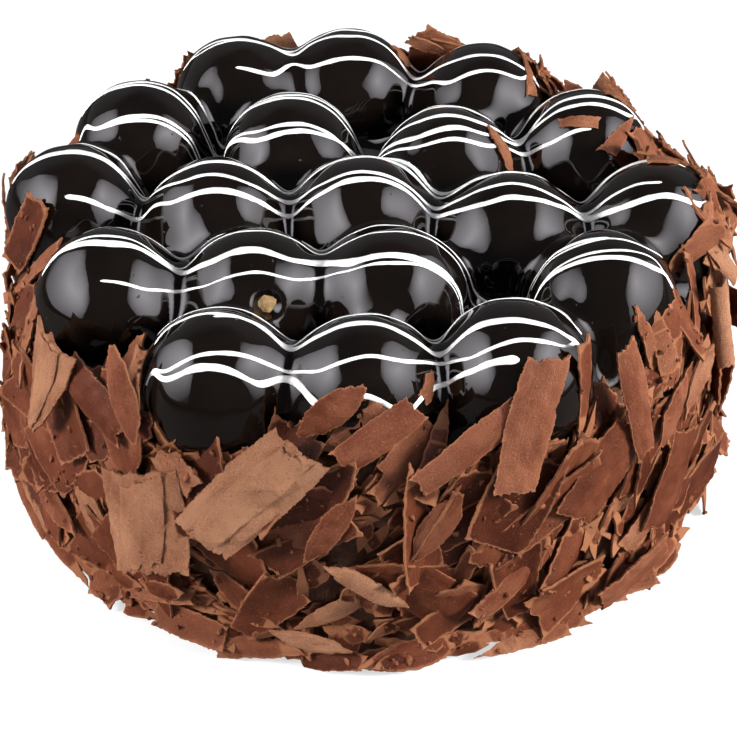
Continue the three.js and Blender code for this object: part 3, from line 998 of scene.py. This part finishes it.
def kind_outline(kind, width, length, step, rng, jitter=0.05):
    """The outline of one kind at a size in mm, mirrored at random."""
    corners = np.array(KINDS[kind])
    corners[:, :2] += rng.uniform(-jitter, jitter, (len(corners), 2))
    if rng.random() < 0.5:
        corners = corners[::-1] * (-1, 1, 1)
        corners[:, 2] = np.roll(corners[:, 2], -1)
    return outline(corners * (width, length, 1), step, rng)


def inside(points, ring):
    """Which points lie inside a closed outline."""
    x, y = points[:, :1], points[:, 1:]
    ahead = np.roll(ring, -1, axis=0)
    crosses = (ring[:, 1] > y) != (ahead[:, 1] > y)
    rise = np.where(ahead[:, 1] == ring[:, 1], 1.0, ahead[:, 1] - ring[:, 1])
    at = ring[:, 0] + (y - ring[:, 1]) * (ahead[:, 0] - ring[:, 0]) / rise
    return (crosses & (x < at)).sum(1) % 2 == 1


def fill(ring, spacing, rng):
    """Triangles that fill an outline, with a loose net of points inside it, and how far each point
    is from the outline."""
    low, high = ring.min(0), ring.max(0)
    rows = np.arange(low[1] + spacing / 2, high[1], 0.87 * spacing)
    net = [np.zeros((0, 2))]
    for number, height in enumerate(rows):
        first = low[0] + (0.5 + 0.5 * (number % 2)) * spacing
        across = np.arange(first, high[0], spacing)
        net.append(np.column_stack([across, np.full(len(across), height)]))
    net = np.concatenate(net)
    net = net + rng.normal(0, 0.12 * spacing, net.shape)
    if len(net):
        net = net[inside(net, ring)]
    if len(net):
        gaps = np.linalg.norm(net[:, None] - ring[None], axis=2).min(1)
        net = net[gaps > 0.5 * spacing]
    count = len(ring)
    sides = [(i, (i + 1) % count) for i in range(count)]
    flat = [Vector(point) for point in np.concatenate([ring, net])]
    points, _, faces, *_ = delaunay_2d_cdt(flat, sides, [], 1, 1e-4)
    points = np.array([tuple(point) for point in points])
    depth = np.linalg.norm(points[:, None] - ring[None], axis=2).min(1)
    return points, np.array([tuple(face) for face in faces]), depth


# ---------------------------------------------------------------- plates of chocolate

SHAVING_THICKNESS = 1.25
FLOOR_GAP = 0.1
RIM_THINNING = 0.4
RIM_WIDTH = 1.4


def curved(width, length, curl, bow, twist):
    """How a flat plate is bent: curl is the arc of its section in degrees, bow the sag of its ends and
    twist the lift of its corners in mm.  Outwards is -y."""
    radius = width / math.radians(curl if abs(curl) > 1 else 1)

    def bend(x, z):
        along = 2 * z / length
        y = radius * (1 - np.cos(x / radius)) + bow * along ** 2 + twist * along * 2 * x / width
        return np.stack([radius * np.sin(x / radius), y, z], axis=-1)

    return bend


class Plates:
    """Thin curved plates of shaved chocolate gathered into one mesh."""

    def __init__(self):
        self.points, self.faces, self.rims, self.grains, self.tones = [], [], [], [], []
        self.rim_edges = []
        self.count = 0

    def add(self, ring, spacing, bend, tone, rng, relief=0.0, frame_axes=np.eye(3), middle=(0, 0, 0)):
        """Fills an outline, bends it and gives it its thickness.  frame_axes holds the directions
        across, inwards and along as rows."""
        flat, faces, depth = fill(ring, spacing, rng)
        sheet = bend(flat[:, 0], flat[:, 1])
        if relief:
            scraped = np.column_stack([flat[:, 0] * 2.2, flat[:, 1] * 0.25])
            sheet[:, 1] += relief * (0.09 * waves(scraped, 4.5, int(rng.integers(1e6)))
                                     + 0.12 * waves(flat, 5, int(rng.integers(1e6)))
                                     + 0.24 * waves(flat, 17, int(rng.integers(1e6))))
        corner = sheet[faces]
        normals = np.zeros_like(sheet)
        face_normals = np.cross(corner[:, 1] - corner[:, 0], corner[:, 2] - corner[:, 0])
        for k in range(3):
            np.add.at(normals, faces[:, k], face_normals)
        normals /= np.maximum(np.linalg.norm(normals, axis=1, keepdims=True), 1e-9)
        # rim grows to 1 at the outline: it thins the plate there, and the shader lightens it, partly as a
        # painted highlight.
        rim = np.clip(1 - depth / RIM_WIDTH, 0, 1)
        half = SHAVING_THICKNESS / 2 * (1 - RIM_THINNING * rim ** 2)[:, None]
        count = len(flat)
        both = np.concatenate([sheet + normals * half, sheet - normals * half])
        sides = np.concatenate([faces[:, [0, 1]], faces[:, [1, 2]], faces[:, [2, 0]]])
        codes = sides[:, 0] * count + sides[:, 1]
        open_sides = sides[~np.isin(codes, sides[:, 1] * count + sides[:, 0])]
        a, b = open_sides.T
        walls = np.stack([b, a, a + count, b + count], axis=1)
        base = self.count
        self.points.append(both @ np.asarray(frame_axes) + np.asarray(middle))
        self.faces += (faces + base).tolist() + (faces[:, ::-1] + count + base).tolist()
        self.faces += (walls + base).tolist()
        self.rim_edges += [np.stack([a, b], axis=1) + base, np.stack([a, b], axis=1) + count + base]
        shift = rng.uniform(0, 400, 3)
        grain = np.column_stack([flat, np.zeros(count)]) + shift
        self.rims.append(np.tile(rim, 2))
        self.grains.append(np.concatenate([grain, grain + (37, 11, 5)]))
        self.tones.append(np.full(2 * count, tone))
        self.count += 2 * count

    def mesh(self, name, clear_of_floor=True):
        mesh = bpy.data.meshes.new(name)
        points = np.concatenate(self.points)
        if clear_of_floor:
            points[:, 2] = np.maximum(points[:, 2], FLOOR_GAP)
        mesh.from_pydata((points * MM).tolist(), [], self.faces)
        smooth(mesh)
        edges = np.empty(2 * len(mesh.edges), int)
        mesh.edges.foreach_get("vertices", edges)
        edges = np.sort(edges.reshape(-1, 2), axis=1)
        rims = np.sort(np.concatenate(self.rim_edges), axis=1)
        sharp = np.isin(edges[:, 0] * self.count + edges[:, 1], rims[:, 0] * self.count + rims[:, 1])
        store(mesh, "sharp_edge", "BOOLEAN", sharp, "EDGE")
        store(mesh, "rim", "FLOAT", np.concatenate(self.rims))
        store(mesh, "grain", "FLOAT_VECTOR", np.concatenate(self.grains))
        store(mesh, "tone", "FLOAT", np.concatenate(self.tones))
        return mesh


# ---------------------------------------------------------------- large shavings, one for each node

SHAVING_SLOTS = {entry["node"]: entry["material_slot"] for entry in frame["record"]["subparts"]}
TONES = {"shaving_light": 0.88, "shaving_mid": 0.44, "shaving_dark": 0.18}
# The upright plank at the front right is painted darker than its slot's other shavings: painted shade
# against the light it takes from the right-hand lamp that it faces
PAINTED_SHADE = {"shaving_36": 0.40}
LAYERED_WIDTH = 15
LAYER_SHARE = (0.5, 0.92)
LAYER_LIFT = 0.9
FINE_STEP = 0.5
FINE_SPACING = 1.05


def plate_frame(node):
    """Middle of a node's plate, its directions across, inwards and along, and its points in them."""
    points = corners_of(node)
    middle = points.mean(0)
    along, _, through = np.linalg.svd(points - middle, full_matrices=False)[2]
    outward = middle * (1, 1, 0)
    inward = -through if through @ outward > 0 else through
    along = along if along[2] > 0 else -along
    across = np.cross(inward, along)
    axes = np.stack([across, inward, along])
    return middle, axes, (points - middle) @ axes.T


def fitted_bend(local):
    """A smooth middle surface through a plate's points."""
    def terms(x, z):
        return np.stack([np.ones_like(x), x, z, x * x, x * z, z * z, x * x * z, z * z * z], axis=-1)

    fit = np.linalg.lstsq(terms(local[:, 0], local[:, 2]), local[:, 1], rcond=None)[0]
    return lambda x, z: np.stack([x, terms(x, z) @ fit, z], axis=-1)


def plate_corners(local):
    """The few corners of a plate's outline: torn where a side runs across it, smooth along it."""
    flat = local[:, [0, 2]]
    hull = flat[convex_hull_2d([Vector(point) for point in flat])]
    if np.cross(hull[1] - hull[0], hull[2] - hull[1]) < 0:
        hull = hull[::-1]
    while len(hull) > 4:
        gaps = np.linalg.norm(np.roll(hull, -1, axis=0) - hull, axis=1)
        before, after = hull - np.roll(hull, 1, axis=0), np.roll(hull, -1, axis=0) - hull
        bends = np.abs(np.cross(before, after)) / 2
        if bends.min() > 0.012 * np.ptp(flat[:, 0]) * np.ptp(flat[:, 1]) and gaps.min() > 1.5:
            break
        hull = np.delete(hull, bends.argmin(), axis=0)
    way = np.roll(hull, -1, axis=0) - hull
    level = np.abs(way[:, 0]) / np.linalg.norm(way, axis=1)
    return [(x, z, float(np.clip(1.6 * steep - 0.4, 0.12, 1))) for (x, z), steep in zip(hull, level)]


def rolled_bend(local):
    """The bend of a plate that is rolled up into a tube, and its width when unrolled."""
    design = np.column_stack([2 * local[:, :2], np.ones(len(local))])
    fit = np.linalg.lstsq(design, (local[:, :2] ** 2).sum(1), rcond=None)[0]
    radius = math.sqrt(fit[2] + (fit[:2] ** 2).sum())
    angle = np.sort(np.arctan2(local[:, 0] - fit[0], local[:, 1] - fit[1]))
    gaps = np.diff(np.append(angle, angle[0] + 2 * math.pi))
    start = angle[(gaps.argmax() + 1) % len(angle)]
    arc = 2 * math.pi - gaps.max()
    width = radius * arc

    def bend(x, z):
        turn = start + arc / 2 - x / radius
        return np.stack([fit[0] + radius * np.sin(turn), fit[1] + radius * np.cos(turn), z], axis=-1)

    return bend, width


def is_rolled(local):
    return np.ptp(local[:, 1]) > 0.5 * np.ptp(local[:, 0])


def refine_shavings():
    """Each node's plate made again with torn edges and a scraped face."""
    for index, node in enumerate(SHAVING_NODES):
        rng = np.random.default_rng(600 + index)
        middle, axes, local = plate_frame(node)
        slot = SHAVING_SLOTS[node]
        # A listed plank is darkened here: painted shade.
        tone = TONES[slot] - PAINTED_SHADE.get(node, 0) + rng.uniform(-0.07, 0.07)
        plates = Plates()
        if is_rolled(local):
            bend, width = rolled_bend(local)
            length = np.ptp(local[:, 2])
            ring = kind_outline("plank", width, length, FINE_STEP, rng, jitter=0.02)
        else:
            bend = fitted_bend(local)
            corners = plate_corners(local)
            ring = outline(corners, FINE_STEP, rng)
            if slot == "shaving_light" and np.ptp(local[:, 0]) > LAYERED_WIDTH:
                strip = np.array(corners) * (*LAYER_SHARE, 1)
                layer = outline(strip, FINE_STEP, rng)
                lifted = np.asarray(middle) - LAYER_LIFT * np.asarray(axes)[1]
                plates.add(layer, FINE_SPACING, bend, tone + 0.05, rng, 1.0, axes, lifted)
        plates.add(ring, FINE_SPACING, bend, tone, rng, 1.0, axes, middle)
        piece = piece_from(plates.mesh(node + "_torn"), node + "_torn", SHAVED)
        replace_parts(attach(piece, "root"), node)


# ---------------------------------------------------------------- chips on the glaze

# Shavings that have dropped among the puffs: the puff's number, the turn from its front and the tilt
# above level, the way the chip points, and its kind, width and length
CHIPS = [
    (2, 90, 35, 30, "broken", 8, 12),
    (3, 75, 45, 60, "shard", 6, 24),
    (6, 70, 35, 20, "leaf", 6, 20),
    (7, 40, 45, 70, "shard", 7, 22),
    (7, -20, 60, 80, "plank", 4, 14),
    (7, 120, 60, 40, "broken", 7, 9),
    (12, 150, 50, 70, "shard", 8, 28),
    (12, 170, 65, 60, "broken", 9, 12),
    (12, 100, 40, 20, "wedge", 9, 16),
    (18, 65, 20, 70, "broken", 9, 12),
]
CHIP_CLEARANCE = 1.0


def drop_chips():
    """The chips among the puffs, each lying flat on the glaze under it."""
    rng = np.random.default_rng(77)
    chips = Plates()
    for number, turn, tilt, spin, kind, width, length in CHIPS:
        foot = on_puff(number, turn, tilt)
        outward = foot - PUFF_CENTRES[number - 1]
        outward /= np.linalg.norm(outward)
        level = np.cross((0, 0, 1), outward)
        level /= np.linalg.norm(level)
        uphill = np.cross(outward, level)
        spun = math.radians(spin)
        along = math.sin(spun) * level + math.cos(spun) * uphill
        across = math.cos(spun) * level - math.sin(spun) * uphill
        ring = kind_outline(kind, width, length, FINE_STEP, rng)
        bend = curved(width, length, 25, 1.5, 0.5)
        middle = foot + outward * (GLAZE_SWELL + CHIP_CLEARANCE)
        chips.add(ring, FINE_SPACING, bend, rng.uniform(0.4, 0.8), rng, 1.0,
                  (across, -outward, along), middle)
    piece = piece_from(chips.mesh("fallen_chips"), "fallen_chips", SHAVED)
    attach(piece, "root")


# ---------------------------------------------------------------- small shavings laid on the side

def shaving_forms(stem, sizes, step, spacing, relief):
    """A collection of forms, kept out of the scene.  Each size is a kind, a width and a length in mm."""
    group = bpy.data.collections.new(stem)
    for index, (kind, width, length) in enumerate(sizes):
        rng = np.random.default_rng(31 * index + len(sizes))
        plates = Plates()
        ring = kind_outline(kind, width, length, step, rng)
        curl = rng.choice((-1, 1)) * rng.uniform(30, 105)
        bend = curved(width, length, curl, rng.uniform(-1.0, 2.4), rng.uniform(-1.0, 1.0))
        plates.add(ring, spacing, bend, 0.5, rng, relief)
        name = f"{stem}_{index:02d}"
        group.objects.link(bpy.data.objects.new(name, plates.mesh(name, clear_of_floor=False)))
    return group


def laying_tree():
    """Puts a form on every point: each point holds its form's number, turn, size, tone and grain shift."""
    tree, inputs = start_tree("lay_shavings", [
        ("Forms", "Collection", None), ("Material", "Material", None)])
    solid = place_forms(tree, inputs["Forms"], {
        "Points": inputs["Geometry"], "Instance Index": read(tree, "form", "INT"),
        "Rotation": read(tree, "heading", "QUATERNION"), "Scale": read(tree, "size", "FLOAT_VECTOR")})
    above = get(tree, "ShaderNodeVectorMath", {
        0: get(tree, "GeometryNodeInputPosition"), 1: (-1, -1, FLOOR_GAP * MM)}, operation="MAXIMUM")
    solid = get(tree, "GeometryNodeSetPosition", {"Geometry": solid, "Position": above})
    moved = get(tree, "ShaderNodeVectorMath", {
        0: read(tree, "grain", "FLOAT_VECTOR"), 1: read(tree, "shift", "FLOAT_VECTOR")}, operation="ADD")
    marked = keep(tree, solid, "grain", "FLOAT_VECTOR", moved)
    toned = keep(tree, marked, "tone", "FLOAT", read(tree, "shade"))
    finish_tree(tree, toned, inputs["Material"])
    return tree


LAYING = laying_tree()


class Heap:
    """Shavings that have been given their places, waiting to be made as one piece."""

    def __init__(self, name, sizes, step, spacing, relief):
        self.name = name
        self.sizes = sizes
        self.forms = shaving_forms(name + "_form", sizes, step, spacing, relief)
        self.rows = []

    def make(self):
        centres, axes, scales, forms, tones, shifts = zip(*self.rows)
        mesh = bpy.data.meshes.new(self.name + "_places")
        mesh.from_pydata((np.array(centres) * MM).tolist(), [], [])
        turns = [Matrix(np.array(a).T.tolist()).to_quaternion() for a in axes]
        store(mesh, "form", "INT", np.array(forms, np.int32))
        store(mesh, "heading", "QUATERNION", np.array([tuple(q) for q in turns]))
        store(mesh, "size", "FLOAT_VECTOR", np.array(scales))
        store(mesh, "shift", "FLOAT_VECTOR", np.array(shifts))
        store(mesh, "shade", "FLOAT", np.array(tones))
        piece = grow(piece_from(mesh, self.name + "_places"), LAYING,
                     {"Forms": self.forms, "Material": SHAVED}, self.name)
        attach(piece, "root")
        return piece


def footprint(width, length):
    """A grid of places over a shaving, in mm across and along it."""
    along, across = np.meshgrid(np.linspace(-0.5, 0.5, max(4, int(length / 2))),
                                np.linspace(-0.5, 0.5, max(3, int(width / 2))), indexing="ij")
    return np.stack([across.ravel() * width, along.ravel() * length], axis=1)


# How far out, how high and how low a shaving on the heap may reach
WIDEST = cad_box[1][0] / MM + 4.5
TALLEST = cad_box[1][2] / MM + 2.5
LOWEST = 0.3
# How steeply a shaving follows what is under it, as a slope, and how far one may be pushed inwards
STEEPEST = math.tan(math.radians(38))
FURTHEST_PUSH = 3.5


def lay(side, heap, turn, height, spin, tone, rng, clear, tilt, foot_lean):
    """Lays one shaving on the side of the cake, where it rests on what is there already.  clear is the
    share of it that stays clear of what is under it, tilt how much it leans at random in degrees, and
    foot_lean how far its lower end stands out, as a slope."""
    form = int(rng.integers(len(heap.sizes)))
    scale = rng.uniform(0.8, 1.2, 2)
    width, length = heap.sizes[form][1] * scale[0], heap.sizes[form][2] * scale[1]
    angle, spun = math.radians(turn), math.radians(spin)
    outward = np.array([math.sin(angle), -math.cos(angle), 0])
    tangent = np.array([math.cos(angle), math.sin(angle), 0])
    up = np.array([0, 0, 1.0])
    grid = footprint(width, length)
    along = math.sin(spun) * tangent + math.cos(spun) * up
    across = math.cos(spun) * tangent - math.sin(spun) * up
    middle = on_wall(turn, height, CREAM_RADIUS)
    flat = middle + grid[:, :1] * across + grid[:, 1:] * along
    column, row = side.cells(flat)
    base = side.reach[column, row]
    depth = np.sqrt(np.maximum(base ** 2 - (grid @ np.stack([across, along]) @ tangent) ** 2, 1))
    design = np.column_stack([grid, np.ones(len(grid))])
    lean_across, lean_along, _ = np.linalg.lstsq(design, depth, rcond=None)[0]
    lean_across = np.clip(lean_across, -STEEPEST, STEEPEST) + math.tan(math.radians(rng.normal(0, tilt)))
    lean_along = np.clip(lean_along, -STEEPEST, STEEPEST) + math.tan(math.radians(rng.normal(0, tilt)))
    lean_across += foot_lean * math.sin(spun)
    lean_along -= foot_lean * math.cos(spun)
    plane = grid @ np.array([lean_across, lean_along])
    gap = np.quantile(depth - plane, clear)
    along = along + lean_along * outward
    along /= np.linalg.norm(along)
    across = across + lean_across * outward
    across -= along * (across @ along)
    across /= np.linalg.norm(across)
    inward = np.cross(along, across)
    centre = outward * (gap + SHAVING_THICKNESS) + up * height
    points = centre + grid[:, :1] * across + grid[:, 1:] * along
    if points[:, 2].min() < LOWEST or points[:, 2].max() > TALLEST:
        return
    if np.hypot(points[:, 0], points[:, 1]).max() > WIDEST:
        return
    column, row = side.cells(points)
    over = (np.hypot(points[:, 0], points[:, 1]) - side.lid[column, row]).max()
    if over > FURTHEST_PUSH:
        return
    if over > 0:
        centre = centre - outward * over
        points = points - outward * over
    side.stack(points, SHAVING_THICKNESS / 2)
    heap.rows.append((centre, (across, inward, along), (scale[0], 1.0, scale[1]), form,
                      float(np.clip(tone, 0, 1)), rng.uniform(0, 300, 3)))


# Which way shavings lie, in degrees from upright: a mean and its spread, or at the front left two means
# and their spread
FRONT_RIGHT = (38, 20)
FRONT_LEFT = (-45, 25)
FRONT_LEFT_SPREAD = 22
ELSEWHERE = (30, 40)
AT_FOOT = (82, 8)
# They turn towards AT_FOOT from FOOT_TOP down, and have turned altogether FOOT_FADE lower
FOOT_TOP = 34
FOOT_FADE = 20


def spin_at(turn, height, rng):
    """Which way shavings lie: slanting at the front right, flat at the foot, mixed elsewhere."""
    facing = (turn + 180) % 360 - 180
    if -10 < facing < 85:
        spin = rng.normal(*FRONT_RIGHT)
    elif -80 < facing <= -10:
        spin = rng.choice(FRONT_LEFT) + rng.normal(0, FRONT_LEFT_SPREAD)
    else:
        spin = rng.normal(*ELSEWHERE)
    foot = np.clip((FOOT_TOP - height) / FOOT_FADE, 0, 1)
    return spin + foot * (rng.choice((-1, 1)) * rng.normal(*AT_FOOT) - spin)


def lay_many(side, heap, rng, count, heights, tones, clear, tilt, foot_lean=0.0, turns=(0, 360)):
    """Lays shavings at random.  tones is the mean and the spread of their shades."""
    for _ in range(count):
        turn, height = rng.uniform(*turns), rng.uniform(*heights)
        tone = rng.normal(*tones)
        lay(side, heap, turn, height, spin_at(turn, height, rng), tone, rng, clear, tilt, foot_lean)


def dress_drum():
    """The drum's own mesh stays, in the colour of its cream."""
    drum = frame["nodes"]["cake_body"].data
    drum.materials.clear()
    drum.materials.append(SPONGE)


# ---------------------------------------------------------------- crumbs

CRUMB_FORMS = 6
CRUMBS_PER_AREA = 48000.0
CRUMB_SEED = 5
# A crumb's size is the first of CRUMB_SCALE plus the second times the cube of a draw from CRUMB_DRAW
CRUMB_DRAW = (0.25, 1.5)
CRUMB_SCALE = (0.24, 0.50)
# Crumbs lie on faces that look up at least this much, from this height in mm
CRUMB_UPWARD = 0.15
CRUMB_LOWEST = 2


def crumb_forms():
    """A few broken lumps, about 2 mm across at size 1, kept out of the scene."""
    group = bpy.data.collections.new("crumb_form")
    for index in range(CRUMB_FORMS):
        rng = np.random.default_rng(900 + index)
        mesh, ball = ball_mesh(f"crumb_{index:02d}", 1)
        lump = ball * rng.uniform(0.65, 1.15, (len(ball), 1)) * (1.0, 0.8, 0.5)
        mesh.vertices.foreach_set("co", (lump * MM).ravel())
        # Random rim values let the shader lighten parts of each crumb as it does broken edges: partly paler
        # broken chocolate, partly a painted highlight.
        store(mesh, "rim", "FLOAT", rng.uniform(0.4, 1.0, len(ball)))
        group.objects.link(bpy.data.objects.new(mesh.name, mesh))
    return group


def crumb_tree():
    """Scatters crumbs over the faces that look up."""
    tree, inputs = start_tree("scatter_crumbs", [
        ("Forms", "Collection", None), ("Count per square metre", "Float", CRUMBS_PER_AREA),
        ("Seed", "Int", CRUMB_SEED), ("Material", "Material", None)])
    upward = calculate(tree, "GREATER_THAN", split(tree, "GeometryNodeInputNormal")["Z"], CRUMB_UPWARD)
    clear = calculate(
        tree, "GREATER_THAN", split(tree, "GeometryNodeInputPosition")["Z"], CRUMB_LOWEST * MM)
    spots = get(tree, "GeometryNodeDistributePointsOnFaces", {
        "Mesh": inputs["Geometry"], "Selection": calculate(tree, "MULTIPLY", upward, clear),
        "Seed": inputs["Seed"], "Density": inputs["Count per square metre"]})
    spin = get(tree, "FunctionNodeRandomValue", {0: (0, 0, 0), 1: (6.3, 6.3, 6.3)},
               data_type="FLOAT_VECTOR")
    draw = add(tree, "FunctionNodeRandomValue", {2: CRUMB_DRAW[0], 3: CRUMB_DRAW[1]},
               data_type="FLOAT").outputs[1]
    cube = calculate(tree, "MULTIPLY", draw, calculate(tree, "MULTIPLY", draw, draw))
    size = calculate(tree, "MULTIPLY_ADD", cube, CRUMB_SCALE[1], CRUMB_SCALE[0])
    solid = place_forms(tree, inputs["Forms"], {"Points": spots, "Rotation": spin, "Scale": size})
    grain = get(tree, "ShaderNodeVectorMath", {
        0: get(tree, "GeometryNodeInputPosition"), 1: (1 / MM, 1 / MM, 1 / MM)}, operation="MULTIPLY")
    marked = keep(tree, solid, "grain", "FLOAT_VECTOR", grain)
    shade = get(tree, "ShaderNodeTexNoise", {"Vector": grain, "Scale": 0.3, "Detail": 1.0})
    finish_tree(tree, keep(tree, marked, "tone", "FLOAT", shade), inputs["Material"])
    return tree


def scatter_crumbs(*beds):
    """One piece of crumbs that lie on the upper faces of the given pieces."""
    work = bmesh.new()
    for bed in beds:
        work.from_mesh(bed.data)
    mesh = bpy.data.meshes.new("crumb_bed")
    work.to_mesh(mesh)
    work.free()
    crumbs = grow(piece_from(mesh, "crumb_bed"), crumb_tree(),
                  {"Forms": crumb_forms(), "Material": SHAVED}, "crumbs")
    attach(crumbs, "root")


# ---------------------------------------------------------------- putting it together

# The kind, width and length in mm of each form
PACKED_SIZES = [("plank", 6, 14), ("leaf", 6, 17), ("wedge", 8, 14), ("broken", 9, 11), ("shard", 5, 19),
                ("sickle", 6, 16), ("stepped", 9, 17), ("plank", 4, 20), ("broken", 7, 9), ("leaf", 5, 13)]
BROAD_SIZES = [("plank", 20, 42), ("broken", 24, 34), ("wedge", 22, 40), ("stepped", 22, 44),
               ("plank", 14, 46), ("leaf", 17, 42), ("fan", 22, 38), ("shard", 16, 44)]
OUTER_SIZES = [("plank", 9, 30), ("leaf", 9, 30), ("wedge", 13, 27), ("broken", 15, 20), ("shard", 8, 34),
               ("sickle", 9, 28), ("stepped", 14, 28), ("plank", 7, 36), ("fan", 14, 27), ("leaf", 7, 25),
               ("plank", 13, 22), ("wedge", 9, 34), ("broken", 12, 16), ("shard", 10, 24),
               ("stepped", 11, 34), ("sickle", 11, 22), ("plank", 6, 26), ("fan", 11, 32)]

stand_camera()
lay_floor()
hang_lights()
light_world()
glaze = pour_glaze()
pour_drizzle(glaze)
bake_puffs()
spread_cream()
dress_drum()
refine_shavings()
drop_chips()

side = Side()
for node in SHAVING_NODES:
    side.cover(corners_of(node))

rng = np.random.default_rng(12)
packed = Heap("packed_shavings", PACKED_SIZES, step=2.2, spacing=3.6, relief=0.0)
# The packed under-layer gets dark tones, partly painted shade for the gaps between the larger shavings.
lay_many(side, packed, rng, 1300, heights=(2, 74), tones=(0.24, 0.16), clear=0.45, tilt=10)
packed_piece = packed.make()

broad = Heap("broad_shavings", BROAD_SIZES, step=0.9, spacing=2.6, relief=1.0)
lay_many(side, broad, rng, 160, heights=(13, 72), tones=(0.16, 0.16), clear=0.7, tilt=9)
broad_piece = broad.make()

outer = Heap("outer_shavings", OUTER_SIZES, step=0.9, spacing=3.0, relief=1.0)
lay_many(side, outer, rng, 84, heights=(10, 80), tones=(0.40, 0.25), clear=0.75, tilt=11)
lay_many(side, outer, rng, 40, heights=(74, 88), tones=(0.52, 0.18), clear=0.7, tilt=10)
lay_many(side, outer, rng, 55, heights=(80, 96), tones=(0.50, 0.18), clear=0.6, tilt=14, turns=(75, 165))
lay_many(side, outer, rng, 150, heights=(2.5, 8), tones=(0.36, 0.20), clear=0.55, tilt=8, foot_lean=0.6)
lay_many(side, outer, rng, 70, heights=(3, 6), tones=(0.46, 0.18), clear=0.5, tilt=10, foot_lean=0.85)
outer_piece = outer.make()
scatter_crumbs(packed_piece, broad_piece, outer_piece)
